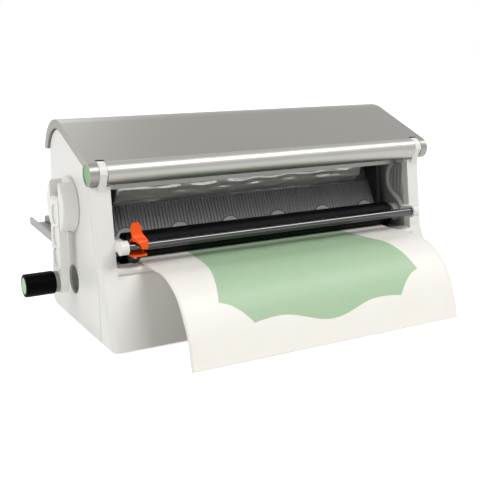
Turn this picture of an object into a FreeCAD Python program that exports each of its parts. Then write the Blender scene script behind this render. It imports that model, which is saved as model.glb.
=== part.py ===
"""A hand-cranked cold laminator with a film cartridge, in millimetres.

X runs along the rollers with the crank at -X, -Y is the front where the sheet comes out, +Z is up.
The origin is on the floor under the middle of the housing.
"""
import FreeCAD
import Part
import Sketcher
import math
import operator
import os
from types import SimpleNamespace

doc = FreeCAD.newDocument("cold_laminator")
dims = doc.addObject("Spreadsheet::Sheet", "Dims")

# Driving dimensions, one cell each
SIZES = {
    # housing
    "half_width": 205.0,
    "cheek_depth": 20.0,
    "frame_wall": 3.0,
    "cover_wall": 2.6,
    "shell_wall": 3.0,
    "cover_proud": 0.8,
    "foot_height": 2.0,
    "foot_radius": 8.0,
    "foot_x": 180.0,
    "foot_y": 72.0,
    "pan_wall": 3.0,
    "rear_foot_y": 97.5,
    "front_foot_y": -96.0,
    "lip_y": -59.0,
    "lip_z": 77.0,
    "post_top_y": -48.0,
    "post_top_z": 160.0,
    "crease_top_y": -42.2,
    "crease_mid_y": -53.2,
    "crease_foot_y": -60.0,
    "crease_mid_z": 75.0,
    "crease_low_z": 50.0,
    "panel_recess": 0.3,
    "lip_radius": 3.5,
    "corner_radius": 6.0,
    "foot_corner": 12.0,
    # lid
    "hinge_y": -46.0,
    "hinge_z": 168.0,
    "nose_radius": 12.0,
    "back_y": 47.5,
    "back_radius": 46.0,
    "lid_end_drop": 11.6,
    "lid_half": 207.5,
    "lid_skin": 2.5,
    "lid_flange": 9.5,
    "flange_wall": 4.0,
    "lid_gap": 0.8,
    "knuckle_start": 5.0,
    "knuckle_width": 8.0,
    "hinge_pin_radius": 3.0,
    # nip
    "nip_y": -33.0,
    "nip_z": 77.0,
    "sleeve_radius": 13.15,
    "sleeve_half": 167.5,
    "nip_gap": 0.7,
    "journal_radius": 5.0,
    "collar_radius": 8.0,
    "bush_radius": 8.0,
    "bush_flange": 2.0,
    "roller_boss": 12.0,
    # crank and gears
    "crank_y": 16.6,
    "crank_z": 129.0,
    "gear_module": 1.48,
    "gear_width": 8.0,
    "gear_start": 2.0,
    "gear_slack": 0.2,
    "pinion_teeth": 14,
    "idler_teeth": 32,
    "roller_teeth": 18,
    "stud_radius": 4.0,
    "hub_radius": 29.0,
    "hub_depth": 16.4,
    "hub_gap": 0.6,
    "arm_width": 28.0,
    "arm_wall": 8.4,
    "arm_proud": 0.8,
    "arm_head": 9.0,
    "arm_foot": 11.0,
    "throw": 80.5,
    "arm_pin_radius": 2.0,
    "collar_depth": 4.0,
    "knob_collar_radius": 11.0,
    "grip_radius": 12.0,
    "grip_length": 31.0,
    "knob_cap_radius": 8.5,
    "spindle_radius": 3.0,
    "pocket_radius": 15.75,
    "pocket_depth": 24.0,
    # cutter
    "rail_y": -68.0,
    "rail_z": 97.0,
    "rail_radius": 4.5,
    "rail_block": 8.0,
    "slider_width": 19.0,
    "slider_height": 24.0,
    "blade_radius": 7.0,
    # film and sheet
    "film_width": 317.5,
    "sheet_wall": 0.4,
    "roll_radius": 28.0,
    "core_radius": 14.0,
    "core_pin_radius": 6.0,
    "upper_roll_y": 30.0,
    "upper_roll_z": 148.0,
    "lower_roll_y": 40.0,
    "lower_roll_z": 40.0,
    "plate_start": 171.5,
    "plate_wall": 4.0,
    "rib_pitch": 4.0,
    "button_radius": 13.0,
    "button_pitch": 62.0,
    # tray
    "tray_half": 200.0,
    "tray_axis_y": 103.0,
    "tray_axis_z": 72.4,
    "tray_reach": 100.0,
    "tray_depth": 9.2,
    "tray_wall": 2.5,
    "tray_rise": 0.047,
    "rail_width": 21.0,
    "tray_pin_radius": 2.5,
    # fits
    "running_fit": 0.05,
    "fixed_fit": 0.01,
    "clearance": 0.4,
}

for row, (alias, number) in enumerate(SIZES.items(), start=1):
    dims.set(f"A{row}", alias)
    dims.set(f"B{row}", str(number))
    dims.setAlias(f"B{row}", alias)
doc.recompute()

SIGNS = {"+": operator.add, "-": operator.sub, "*": operator.mul, "/": operator.truediv}


class Size:
    """A sheet cell or a sum of them: the text of the expression beside its value."""

    def __init__(self, text, value):
        self.text = text
        self.value = value

    def __add__(self, other):
        return combine(self, "+", other)

    def __radd__(self, other):
        return combine(other, "+", self)

    def __sub__(self, other):
        return combine(self, "-", other)

    def __rsub__(self, other):
        return combine(other, "-", self)

    def __mul__(self, other):
        return combine(self, "*", other)

    def __rmul__(self, other):
        return combine(other, "*", self)

    def __truediv__(self, other):
        return combine(self, "/", other)

    def __neg__(self):
        return combine(0.0, "-", self)


def as_size(number):
    """A plain number as a Size, so that both kinds add up."""
    if isinstance(number, Size):
        return number
    return Size(f"({float(number)!r})", float(number))


def combine(left, sign, right):
    """Two sizes joined by a sign, as text and as a value."""
    left, right = as_size(left), as_size(right)
    value = SIGNS[sign](left.value, right.value)
    return Size(f"({left.text} {sign} {right.text})", value)


def root(number):
    """The square root of a size."""
    return Size(f"sqrt({number.text})", math.sqrt(number.value))


d = SimpleNamespace(**{name: Size(f"Dims.{name}", float(dims.get(name))) for name in SIZES})

# Values that several pieces share
inner_half = d.half_width - d.cheek_depth
frame_outer = inner_half + d.frame_wall
cover_inner = d.half_width - d.cover_wall
fascia_half = d.half_width - d.cover_proud
floor_z = d.foot_height + d.pan_wall
roller_step = 2 * d.sleeve_radius + d.nip_gap
upper_axis_z = d.nip_z + roller_step / 2
lower_axis_z = d.nip_z - roller_step / 2
grip_z = d.crank_z - d.throw
gear_x = frame_outer + d.gear_start
knuckle_x = inner_half + d.knuckle_start
sheet_top = d.nip_z + d.sheet_wall / 2
sheet_under = d.nip_z - d.sheet_wall / 2
film_half = d.film_width / 2

# The lid's flat runs at one slope, tangent to the nose and to the back curve
lid_sine = (d.back_radius - d.nose_radius) / (d.back_y - d.hinge_y)
lid_cosine = root(1 - lid_sine * lid_sine)

# The idler sits where its gear meets both the pinion and the upper roller's gear
pinion_pitch = d.gear_module * d.pinion_teeth / 2
idler_pitch = d.gear_module * d.idler_teeth / 2
roller_pitch = d.gear_module * d.roller_teeth / 2
reach_to_pinion = pinion_pitch + idler_pitch + d.gear_slack
reach_to_roller = roller_pitch + idler_pitch + d.gear_slack
span_y = d.crank_y - d.nip_y
span_z = d.crank_z - upper_axis_z
span = root(span_y * span_y + span_z * span_z)
along = (reach_to_roller * reach_to_roller - reach_to_pinion * reach_to_pinion + span * span) / (2 * span)
aside = root(reach_to_roller * reach_to_roller - along * along)
idler_y = d.nip_y + (along * span_y + aside * span_z) / span
idler_z = upper_axis_z + (along * span_z - aside * span_y) / span


def rear_y(height, inset=0.0):
    """The rear wall's place at a height: it leans forward as it rises."""
    lean = (d.rear_foot_y - cover_rear_y) / (d.hinge_z - d.foot_height)
    return d.rear_foot_y - (height - d.foot_height) * lean - inset


def front_y(height, inset=0.0):
    """The posts' front face at a height between the lip and the hinge."""
    lean = (d.post_top_y - d.lip_y) / (d.post_top_z - d.lip_z)
    return d.lip_y + (height - d.lip_z) * lean + inset


def chin_y(height, inset=0.0):
    """The lower front panel's face at a height under the lip."""
    lean = (d.lip_y - d.front_foot_y) / (d.lip_z - d.foot_height)
    return d.front_foot_y + (height - d.foot_height) * lean + inset


cover_arc = d.back_radius - d.lid_flange - d.lid_gap
cover_rear_y = d.back_y + cover_arc


def lid_offset(distance, along_flat):
    """A point on the lid's slope: a distance off the hinge axis and a way along the flat."""
    across = d.hinge_y - distance * lid_sine + along_flat * lid_cosine
    up = d.hinge_z + distance * lid_cosine + along_flat * lid_sine
    return across, up


def back_point(radius):
    """Where an arc round the back centre meets the flat."""
    return d.back_y - radius * lid_sine, d.hinge_z + radius * lid_cosine


rear_corner_z = d.foot_height + d.foot_corner
rear_corner_y = d.rear_foot_y - d.foot_corner

PARTS = {}


def keep(obj, label):
    """Names an object as a sub-part that is written out."""
    obj.Label = label
    PARTS[label] = obj
    return obj


def new_body(label):
    """An empty body for one sub-part."""
    return keep(doc.addObject("PartDesign::Body", label), label)


def sketch_on(body, role, offset):
    """A sketch on one of the body's origin planes, moved off along the plane's normal."""
    sketch = body.newObject("Sketcher::SketchObject", f"{body.Name}_sketch")
    plane = next(item for item in body.Origin.OriginFeatures if item.Role == role)
    sketch.AttachmentSupport = [(plane, "")]
    sketch.MapMode = "FlatFace"
    sketch.setExpression("AttachmentOffset.Base.z", as_size(offset).text)
    return sketch


def fix_point(sketch, geometry, position, across, up):
    """Ties a point of the sketch to two sizes."""
    for kind, size in (("DistanceX", as_size(across)), ("DistanceY", as_size(up))):
        index = sketch.addConstraint(Sketcher.Constraint(kind, -1, 1, geometry, position, size.value))
        sketch.setExpression(f"Constraints[{index}]", size.text)


def fix_radius(sketch, geometry, radius):
    """Ties a circle's or an arc's radius to a size."""
    index = sketch.addConstraint(Sketcher.Constraint("Radius", geometry, as_size(radius).value))
    sketch.setExpression(f"Constraints[{index}]", as_size(radius).text)


def arc_between(start, end, radius, turn):
    """An arc of a radius from start to end: turn is +1 anticlockwise, -1 clockwise, 2 for the long way."""
    way = 1 if turn > 0 else -1
    long_way = -1 if abs(turn) == 2 else 1
    chord = end - start
    height = math.sqrt(max(radius * radius - chord.Length ** 2 / 4, 0.0))
    side = FreeCAD.Vector(-chord.y, chord.x, 0).normalize()
    centre = (start + end) / 2 + side * (height * way * long_way)
    first, last = (start, end) if way > 0 else (end, start)
    angles = [math.atan2(p.y - centre.y, p.x - centre.x) for p in (first, last)]
    return Part.ArcOfCircle(Part.Circle(centre, FreeCAD.Vector(0, 0, 1), radius), *angles)


def outline(sketch, corners):
    """A closed outline. A corner is (across, up), or (across, up, radius, turn) when an arc leads to it."""
    points = [FreeCAD.Vector(as_size(c[0]).value, as_size(c[1]).value, 0) for c in corners]
    edges = []
    for number, corner in enumerate(corners):
        start, end = points[number - 1], points[number]
        if len(corner) == 2:
            index = sketch.addGeometry(Part.LineSegment(start, end), False)
            edges.append((index, 1, 2))
        else:
            radius, turn = as_size(corner[2]), corner[3]
            index = sketch.addGeometry(arc_between(start, end, radius.value, turn), False)
            edges.append((index, 1, 2) if turn > 0 else (index, 2, 1))
    for number, (index, first, last) in enumerate(edges):
        following = edges[(number + 1) % len(edges)]
        sketch.addConstraint(Sketcher.Constraint("Coincident", index, last, following[0], following[1]))
    for number, (index, first, last) in enumerate(edges):
        fix_point(sketch, index, last, corners[number][0], corners[number][1])
        if len(corners[number]) == 4:
            fix_radius(sketch, index, corners[number][2])
    return sketch


def half_round(start, end, radius, turn):
    """The two corners of a half circle from start to end, as quarter arcs."""
    run, rise = end[0] - start[0], end[1] - start[1]
    middle = ((start[0] + end[0] + rise * turn) / 2, (start[1] + end[1] - run * turn) / 2)
    return [(*middle, radius, turn), (*end, radius, turn)]


def circle(sketch, across, up, radius):
    """A circle tied to a centre and a radius."""
    centre = FreeCAD.Vector(as_size(across).value, as_size(up).value, 0)
    shape = Part.Circle(centre, FreeCAD.Vector(0, 0, 1), as_size(radius).value)
    index = sketch.addGeometry(shape, False)
    fix_point(sketch, index, 3, across, up)
    fix_radius(sketch, index, radius)
    return sketch


def box_corners(left, right, low, high):
    """The four corners of an upright rectangle."""
    return [(left, low), (right, low), (right, high), (left, high)]


def pad(body, sketch, length):
    """Adds the sketch's area along its plane's normal."""
    feature = body.newObject("PartDesign::Pad", f"{body.Name}_pad")
    feature.Profile = sketch
    feature.setExpression("Length", as_size(length).text)
    sketch.Visibility = False
    return feature


def cut(body, sketch, length):
    """Takes the sketch's area away along its plane's normal."""
    doc.recompute()
    before = body.Shape.Volume
    feature = body.newObject("PartDesign::Pocket", f"{body.Name}_cut")
    feature.Profile = sketch
    feature.Reversed = True
    feature.setExpression("Length", as_size(length).text)
    doc.recompute()
    if body.Shape.Volume >= before:
        raise RuntimeError(f"a cut in {body.Label} takes nothing away")
    return feature


def side_pad(body, start, length, corners, holes=()):
    """A side-view outline, with round holes, made into a slab from start towards +X."""
    sketch = outline(sketch_on(body, "YZ_Plane", start), corners)
    for hole in holes:
        circle(sketch, *hole)
    return pad(body, sketch, length)


def side_cut(body, start, length, corners):
    """A side-view outline cut away from start towards +X."""
    return cut(body, outline(sketch_on(body, "YZ_Plane", start), corners), length)


def round_cut(body, start, length, across, up, radius):
    """A round hole along X, from start towards +X."""
    return cut(body, circle(sketch_on(body, "YZ_Plane", start), across, up, radius), length)


def soften(body, radius, chosen):
    """Rounds the edges that the test picks."""
    doc.recompute()
    names = [f"Edge{n}" for n, edge in enumerate(body.Shape.Edges, start=1) if chosen(edge)]
    base = body.Tip
    feature = body.newObject("PartDesign::Fillet", f"{body.Name}_fillet")
    feature.Base = (base, names)
    feature.setExpression("Radius", as_size(radius).text)
    doc.recompute()
    return feature


def lies_at_x(edge, place):
    """True for an edge that lies in the plane X = place."""
    box = edge.BoundBox
    return abs(box.XMin - place) < 0.01 and abs(box.XMax - place) < 0.01


TURN_TO_X = FreeCAD.Rotation(FreeCAD.Vector(0, 1, 0), 90)
TURN_TO_Y = FreeCAD.Rotation(FreeCAD.Vector(1, 0, 0), -90)
UPRIGHT = FreeCAD.Rotation()


def place_at(obj, turn, x, y, z):
    """Turns an object and ties its place to sizes."""
    obj.Placement = FreeCAD.Placement(FreeCAD.Vector(0, 0, 0), turn)
    for axis, size in zip("xyz", (x, y, z)):
        obj.setExpression(f"Placement.Base.{axis}", as_size(size).text)


def rod(name, radius, length, turn, x, y, z):
    """A plain cylinder from a point along X, Y or Z."""
    obj = doc.addObject("Part::Cylinder", name)
    obj.setExpression("Radius", as_size(radius).text)
    obj.setExpression("Height", as_size(length).text)
    place_at(obj, turn, x, y, z)
    return obj


def block(name, low, high):
    """A plain box between two corners."""
    obj = doc.addObject("Part::Box", name)
    for side, start, end in zip(("Length", "Width", "Height"), low, high):
        obj.setExpression(side, (as_size(end) - start).text)
    place_at(obj, UPRIGHT, *low)
    return obj


def difference(name, base, tool):
    """One object with another taken out of it."""
    obj = doc.addObject("Part::Cut", name)
    obj.Base = base
    obj.Tool = tool
    return obj


def union(name, first, second):
    """Two objects as one solid."""
    obj = doc.addObject("Part::Fuse", name)
    obj.Base = first
    obj.Tool = second
    return obj


def group(label, members):
    """Like pieces in one node."""
    obj = doc.addObject("Part::Compound", label)
    obj.Links = members
    return keep(obj, label)


def tube(name, outer, inner, length, x, y, z):
    """A cylinder along X with a bore right through it."""
    body = rod(f"{name}_outside", outer, length, TURN_TO_X, x, y, z)
    bore = rod(f"{name}_bore", inner, length, TURN_TO_X, x, y, z)
    return difference(name, body, bore)


def solid_feature(label, shape, x=0.0, y=0.0, z=0.0, turn=UPRIGHT):
    """A piece whose outline comes from a formula: its shape first, then its place."""
    obj = doc.addObject("Part::Feature", label)
    obj.Shape = shape
    place = [as_size(size).value for size in (x, y, z)]
    obj.Placement = FreeCAD.Placement(FreeCAD.Vector(*place), turn)
    return keep(obj, label)


def lathe(label, steps, y, z):
    """A turned piece along X from (x, radius) steps, in the order they are met."""
    body = new_body(label)
    sketch = sketch_on(body, "XZ_Plane", -as_size(y))
    first, last = steps[0][0], steps[-1][0]
    outline(sketch, [(first, z)] + [(x, z + radius) for x, radius in steps] + [(last, z)])
    ends = [FreeCAD.Vector(as_size(x).value, as_size(z).value, 0) for x in (first, last)]
    axis = sketch.addGeometry(Part.LineSegment(*ends), True)
    fix_point(sketch, axis, 1, first, z)
    fix_point(sketch, axis, 2, last, z)
    feature = body.newObject("PartDesign::Revolution", f"{body.Name}_turn")
    feature.Profile = sketch
    feature.ReferenceAxis = (sketch, ["Axis0"])
    return body


def sine(angle):
    """The sine of a size in degrees."""
    return Size(f"sin({angle.text})", math.sin(math.radians(angle.value)))


def cosine(angle):
    """The cosine of a size in degrees."""
    return Size(f"cos({angle.text})", math.cos(math.radians(angle.value)))


# Housing

def make_base():
    """The base pan with its rubber feet and screws."""
    pan_half = fascia_half - d.shell_wall - d.clearance / 2
    pan_front = chin_y(floor_z, d.panel_recess + d.shell_wall * 1.2)
    pan_rear = d.rear_foot_y - d.foot_corner - d.clearance
    screw_radius, head_radius, head_height = 1.6, 3.5, 1.3
    screw_inset = 40.0
    screw_xs = (screw_inset - d.foot_x, 0.0, d.foot_x - screw_inset)
    screw_spots = [(x, y) for x in screw_xs for y in (-d.foot_y, d.foot_y)]
    foot_spots = [(x, y) for x in (-d.foot_x, d.foot_x) for y in (-d.foot_y, d.foot_y)]
    foot_spots.append((0.0, 0.0))
    pan = new_body("base_pan")
    sketch = outline(sketch_on(pan, "XY_Plane", d.foot_height),
                     box_corners(-pan_half, pan_half, pan_front, pan_rear))
    for x, y in screw_spots:
        circle(sketch, x, y, screw_radius + d.fixed_fit)
    pad(pan, sketch, d.pan_wall)
    feet = [rod("foot", d.foot_radius, d.foot_height, UPRIGHT, x, y, 0.0) for x, y in foot_spots]
    group("rubber_feet", feet)
    screws = []
    for x, y in screw_spots:
        head = rod("screw_head", head_radius, head_height, UPRIGHT, x, y, d.foot_height - head_height)
        shank = rod("screw_shank", screw_radius, d.pan_wall + head_height, UPRIGHT, x, y,
                    d.foot_height - head_height)
        screws.append(union("base_screw", head, shank))
    group("base_screws", screws)


TIE_SPOTS = [(d.nip_y - 37, 20.0), (80.0, 20.0), (72.0, 150.0)]
FRAME_TOP_Z = 150.0
POST_DEPTH = 10.0
LIP_LOW_Z = d.lip_z - 9


def frame_corners():
    """The side frame's outline: inside the covers, behind the posts, under the lid."""
    arc = cover_arc - d.shell_wall
    rise = arc - d.back_radius + d.nose_radius
    return [
        (-80.0, floor_z),
        (rear_corner_y, floor_z),
        (rear_y(rear_corner_z, d.shell_wall), rear_corner_z),
        (d.back_y + arc, d.hinge_z),
        (*back_point(arc), arc, 1),
        lid_offset(rise, d.nose_radius + 2.5),
        (front_y(FRAME_TOP_Z, POST_DEPTH), FRAME_TOP_Z),
        (front_y(d.lip_z, POST_DEPTH), d.lip_z),
        (front_y(d.lip_z, POST_DEPTH), LIP_LOW_Z),
    ]


def make_frames():
    """The two side frames that carry the rollers, and the tie rods between them."""
    tie_radius, screw_radius, head_radius, head_depth = 4.0, 2.0, 4.0, 2.0
    holes = [(d.nip_y, upper_axis_z, d.bush_radius), (d.nip_y, lower_axis_z, d.bush_radius)]
    holes += [(y, z, screw_radius + d.fixed_fit) for y, z in TIE_SPOTS]
    drive_holes = [
        (d.crank_y, d.crank_z, d.bush_radius),
        (idler_y, idler_z, d.stud_radius + d.fixed_fit),
        (d.crank_y, grip_z, d.pocket_radius + 2 + d.clearance),
    ]
    left = new_body("left_side_frame")
    side_pad(left, -frame_outer, d.frame_wall, frame_corners(), holes + drive_holes)
    right = new_body("right_side_frame")
    side_pad(right, inner_half, d.frame_wall, frame_corners(), holes)
    rods = [rod("tie_rod", tie_radius, 2 * inner_half, TURN_TO_X, -inner_half, y, z) for y, z in TIE_SPOTS]
    group("tie_rods", rods)
    screws = []
    for y, z in TIE_SPOTS:
        for head_x, shank_x in ((-frame_outer - head_depth, -frame_outer), (frame_outer, inner_half)):
            head = rod("tie_head", head_radius, head_depth, TURN_TO_X, head_x, y, z)
            shank = rod("tie_shank", screw_radius, d.frame_wall, TURN_TO_X, shank_x, y, z)
            screws.append(union("tie_screw", head, shank))
    group("tie_rod_screws", screws)


def make_covers():
    """The two side covers and the pocket that the crank's grip stores in."""
    nose_room = d.nose_radius + d.lid_gap
    rise = cover_arc - d.back_radius + d.nose_radius
    crease_drop = root(nose_room * nose_room - (d.crease_top_y - d.hinge_y) * (d.crease_top_y - d.hinge_y))
    corners = [
        (d.crease_foot_y, d.foot_height),
        (rear_corner_y, d.foot_height),
        (rear_y(rear_corner_z), rear_corner_z, d.foot_corner, 1),
        (cover_rear_y, d.hinge_z),
        (*back_point(cover_arc), cover_arc, 1),
        lid_offset(rise, root(nose_room * nose_room - rise * rise)),
        (d.crease_top_y, d.hinge_z - crease_drop, nose_room, -1),
        (d.crease_mid_y, d.crease_mid_z),
        (d.crease_foot_y, d.crease_low_z),
    ]
    edge_radius, cup_wall = 1.2, 2.0
    left = new_body("left_side_cover")
    side_pad(left, -d.half_width, d.cover_wall, corners,
             [(d.crank_y, d.crank_z, d.bush_radius), (d.crank_y, grip_z, d.pocket_radius)])
    soften(left, edge_radius, lambda edge: is_cover_edge(edge, -d.half_width.value))
    right = new_body("right_side_cover")
    side_pad(right, cover_inner, d.cover_wall, corners)
    soften(right, edge_radius, lambda edge: is_cover_edge(edge, d.half_width.value))
    cup = rod("cup", d.pocket_radius + cup_wall, d.pocket_depth, TURN_TO_X, -cover_inner, d.crank_y, grip_z)
    hollow = rod("cup_hollow", d.pocket_radius, d.pocket_depth - cup_wall, TURN_TO_X,
                 -cover_inner, d.crank_y, grip_z)
    keep(difference("knob_pocket", cup, hollow), "knob_pocket")


def is_cover_edge(edge, place):
    """True for the straight outer edges of a side cover that the lid doesn't hide."""
    straight = isinstance(edge.Curve, Part.Line)
    return lies_at_x(edge, place) and straight and edge.BoundBox.ZMax < d.hinge_z.value + 0.01


def is_round(edge):
    """True for a whole circle."""
    return len(edge.Vertexes) == 1


def make_fascia():
    """The front moulding: two hollow posts with hinge knuckles, a lip and the lower front panel."""
    body = new_body("front_fascia")
    wall = d.shell_wall * 1.1
    shelf_back = d.nip_y - 15
    lip_mid_z = d.lip_z - 1.5 - d.lip_radius
    lip_under_z = lip_mid_z - d.lip_radius - 2.5
    bead_top = (chin_y(lip_mid_z), lip_mid_z + d.lip_radius)
    bead_foot = (chin_y(lip_mid_z), lip_mid_z - d.lip_radius)
    chin = [
        (chin_y(d.foot_height, d.panel_recess), d.foot_height),
        (chin_y(d.foot_height, d.panel_recess + wall), d.foot_height),
        (chin_y(lip_under_z, d.panel_recess + wall), lip_under_z),
        (shelf_back, lip_mid_z),
        (shelf_back, lip_mid_z + d.lip_radius),
        bead_top,
        *half_round(bead_top, bead_foot, d.lip_radius, 1),
        (chin_y(lip_under_z, d.panel_recess), lip_under_z),
    ]
    side_pad(body, -inner_half, 2 * inner_half, chin)
    strip = [
        (d.front_foot_y, d.foot_height),
        (d.front_foot_y + wall, d.foot_height),
        (d.lip_y + wall, d.lip_z),
        (d.post_top_y + wall, d.post_top_z),
        (d.post_top_y, d.post_top_z),
        (d.lip_y, d.lip_z),
    ]
    outer_return = [
        (d.front_foot_y, d.foot_height),
        (d.crease_foot_y, d.foot_height),
        (d.crease_foot_y, d.crease_low_z),
        (d.crease_mid_y, d.crease_mid_z),
        (d.crease_top_y, d.hinge_z - d.nose_radius - d.lid_gap + 0.6),
        (d.crease_top_y, d.post_top_z),
        (d.post_top_y, d.post_top_z),
        (d.lip_y, d.lip_z),
    ]
    inner_return = [
        (chin_y(LIP_LOW_Z), LIP_LOW_Z),
        (front_y(d.lip_z, POST_DEPTH), LIP_LOW_Z),
        (front_y(d.lip_z, POST_DEPTH), d.lip_z),
        (front_y(FRAME_TOP_Z, POST_DEPTH), FRAME_TOP_Z),
        (front_y(FRAME_TOP_Z, POST_DEPTH), d.post_top_z),
        (d.post_top_y, d.post_top_z),
        (d.lip_y, d.lip_z),
    ]
    cap = [
        (front_y(FRAME_TOP_Z), FRAME_TOP_Z),
        (d.crease_top_y, FRAME_TOP_Z),
        (d.crease_top_y, d.post_top_z),
        (d.post_top_y, d.post_top_z),
    ]
    post_width = fascia_half - inner_half
    for post_x, outer_x, inner_x in (
        (-fascia_half, -fascia_half, -frame_outer),
        (inner_half, fascia_half - d.shell_wall, inner_half),
    ):
        side_pad(body, post_x, post_width, strip)
        side_pad(body, outer_x, d.shell_wall, outer_return)
        side_pad(body, inner_x, d.frame_wall, inner_return)
        side_pad(body, post_x, post_width, cap)
    round_cut(body, -d.half_width, 2 * d.half_width, d.hinge_y, d.hinge_z, d.nose_radius + d.lid_gap)
    soften(body, d.corner_radius, is_front_corner)
    knuckle_back = (d.hinge_y + d.nose_radius, d.hinge_z)
    knuckle_front = (d.hinge_y - d.nose_radius, d.hinge_z)
    knuckle = [
        (front_y(FRAME_TOP_Z), FRAME_TOP_Z),
        (d.crease_top_y, FRAME_TOP_Z),
        knuckle_back,
        *half_round(knuckle_back, knuckle_front, d.nose_radius, 1),
    ]
    bore = (d.hinge_y, d.hinge_z, d.hinge_pin_radius + d.running_fit)
    for start in (-knuckle_x - d.knuckle_width, knuckle_x):
        side_pad(body, start, d.knuckle_width, knuckle, [bore])


def is_front_corner(edge):
    """True for the long outer edges down the front of the posts and the chin."""
    ends = [vertex.Point for vertex in edge.Vertexes]
    if len(ends) < 2 or edge.Length < 20:
        return False
    for point in ends:
        on_side = abs(abs(point.x) - fascia_half.value) < 0.01
        on_post = abs(point.y - front_y(as_size(point.z)).value) < 0.01
        on_chin = abs(point.y - chin_y(as_size(point.z)).value) < 0.01
        if not on_side or not (on_post or on_chin):
            return False
    return True


def make_crossbars():
    """The bar across the top of the mouth and the two rear panels."""
    header = new_body("front_header")
    bar_y, bar_low, bar_high, bar_depth, bar_wall = -33.0, 149.0, 158.0, 8.0, 2.0
    side_pad(header, -inner_half, 2 * inner_half, [
        (bar_y, bar_low),
        (bar_y + bar_wall, bar_low),
        (bar_y + bar_wall, bar_high - bar_wall),
        (bar_y + bar_depth, bar_high - bar_wall),
        (bar_y + bar_depth, bar_high),
        (bar_y, bar_high),
    ])
    slot_low, slot_high, lid_lap = 64.0, 92.0, 16.0
    arc = cover_arc - d.shell_wall
    lower = new_body("lower_rear_panel")
    side_pad(lower, -cover_inner, 2 * cover_inner, [
        (rear_corner_y, d.foot_height),
        (rear_y(rear_corner_z), rear_corner_z, d.foot_corner, 1),
        (rear_y(slot_low), slot_low),
        (rear_y(slot_low, d.shell_wall), slot_low),
        (rear_y(rear_corner_z, d.shell_wall), rear_corner_z),
        (rear_corner_y, d.foot_height + d.shell_wall, d.foot_corner - d.shell_wall, -1),
    ])
    ear_radius, ear_width, ear_x = d.tray_depth / 2 - 0.3, 6.0, 186.0
    ear_back = (d.tray_axis_y + ear_radius, d.tray_axis_z)
    ear_front = (d.tray_axis_y - ear_radius, d.tray_axis_z)
    ear = [
        (rear_y(slot_low - 16), slot_low - 16),
        ear_back,
        *half_round(ear_back, ear_front, ear_radius, 1),
        (rear_y(slot_low), slot_low),
    ]
    bore = (d.tray_axis_y, d.tray_axis_z, d.tray_pin_radius + d.running_fit)
    for start in (-ear_x - ear_width, ear_x):
        side_pad(lower, start, ear_width, ear, [bore])
    upper = new_body("upper_rear_panel")
    side_pad(upper, -cover_inner, 2 * cover_inner, [
        (rear_y(slot_high, d.shell_wall), slot_high),
        (rear_y(slot_high), slot_high),
        (cover_rear_y, d.hinge_z),
        (d.back_y + root(cover_arc * cover_arc - lid_lap * lid_lap), d.hinge_z + lid_lap, cover_arc, 1),
        (d.back_y + root(arc * arc - lid_lap * lid_lap), d.hinge_z + lid_lap),
        (d.back_y + arc, d.hinge_z, arc, -1),
    ])


# Lid

def make_lid():
    """The silver lid: a rolled nose, a flat and a back curve in one section, with deeper ends."""
    inner = d.back_radius - d.lid_skin
    rim = d.back_radius - d.lid_flange
    drop = d.lid_end_drop
    end_z = d.hinge_z + drop
    skin_rise = d.nose_radius - d.lid_skin
    flange_rise = d.nose_radius - d.lid_flange

    def end_y(radius):
        return d.back_y + root(radius * radius - drop * drop)

    def on_nose(rise):
        return lid_offset(rise, root(d.nose_radius * d.nose_radius - rise * rise))

    section = [
        (end_y(d.back_radius), end_z),
        (*back_point(d.back_radius), d.back_radius, 1),
        lid_offset(d.nose_radius, 0.0),
        (*on_nose(skin_rise), d.nose_radius, 2),
        back_point(inner),
        (end_y(inner), end_z, inner, -1),
    ]
    flange = [
        (end_y(d.back_radius), end_z),
        (*back_point(d.back_radius), d.back_radius, 1),
        lid_offset(d.nose_radius, 0.0),
        (*on_nose(flange_rise), d.nose_radius, -1),
        back_point(rim),
        (end_y(rim), end_z, rim, -1),
    ]
    body = new_body("lid_shell")
    side_pad(body, -d.lid_half, 2 * d.lid_half, section, [(d.hinge_y, d.hinge_z, skin_rise)])
    for start in (-d.lid_half, d.lid_half - d.flange_wall):
        side_pad(body, start, d.flange_wall, flange)
    notch_width = d.knuckle_width + 2 * d.clearance
    notch_radius = d.nose_radius + 1.2
    for start in (-knuckle_x - d.knuckle_width - d.clearance, knuckle_x - d.clearance):
        round_cut(body, start, notch_width, d.hinge_y, d.hinge_z, notch_radius)


def make_hinge():
    """The plugs in the lid's nose, the pins through them and the end caps."""
    plug_radius = d.nose_radius - d.lid_skin - d.fixed_fit
    pin_bore = d.hinge_pin_radius + d.fixed_fit
    cap_depth, cap_inset, plug_length = 2.0, 0.5, 18.0
    inner_end = knuckle_x - d.clearance
    outer_start = knuckle_x + d.knuckle_width + d.clearance
    cap_start = d.lid_half - cap_inset - cap_depth
    spans = [(inner_end - plug_length, inner_end), (outer_start, cap_start)]
    spans += [(-high, -low) for low, high in spans]
    plugs = [tube("hinge_plug", plug_radius, pin_bore, high - low, low, d.hinge_y, d.hinge_z)
             for low, high in spans]
    group("hinge_plugs", plugs)
    pin_length = cap_start - inner_end + plug_length
    pins = [rod("hinge_pin", d.hinge_pin_radius, pin_length, TURN_TO_X, x, d.hinge_y, d.hinge_z)
            for x in (-cap_start, cap_start - pin_length)]
    group("hinge_pins", pins)
    caps = [rod("hinge_cap", plug_radius, cap_depth, TURN_TO_X, x, d.hinge_y, d.hinge_z)
            for x in (-cap_start - cap_depth, cap_start)]
    group("hinge_caps", caps)


# Nip rollers and gears

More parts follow.
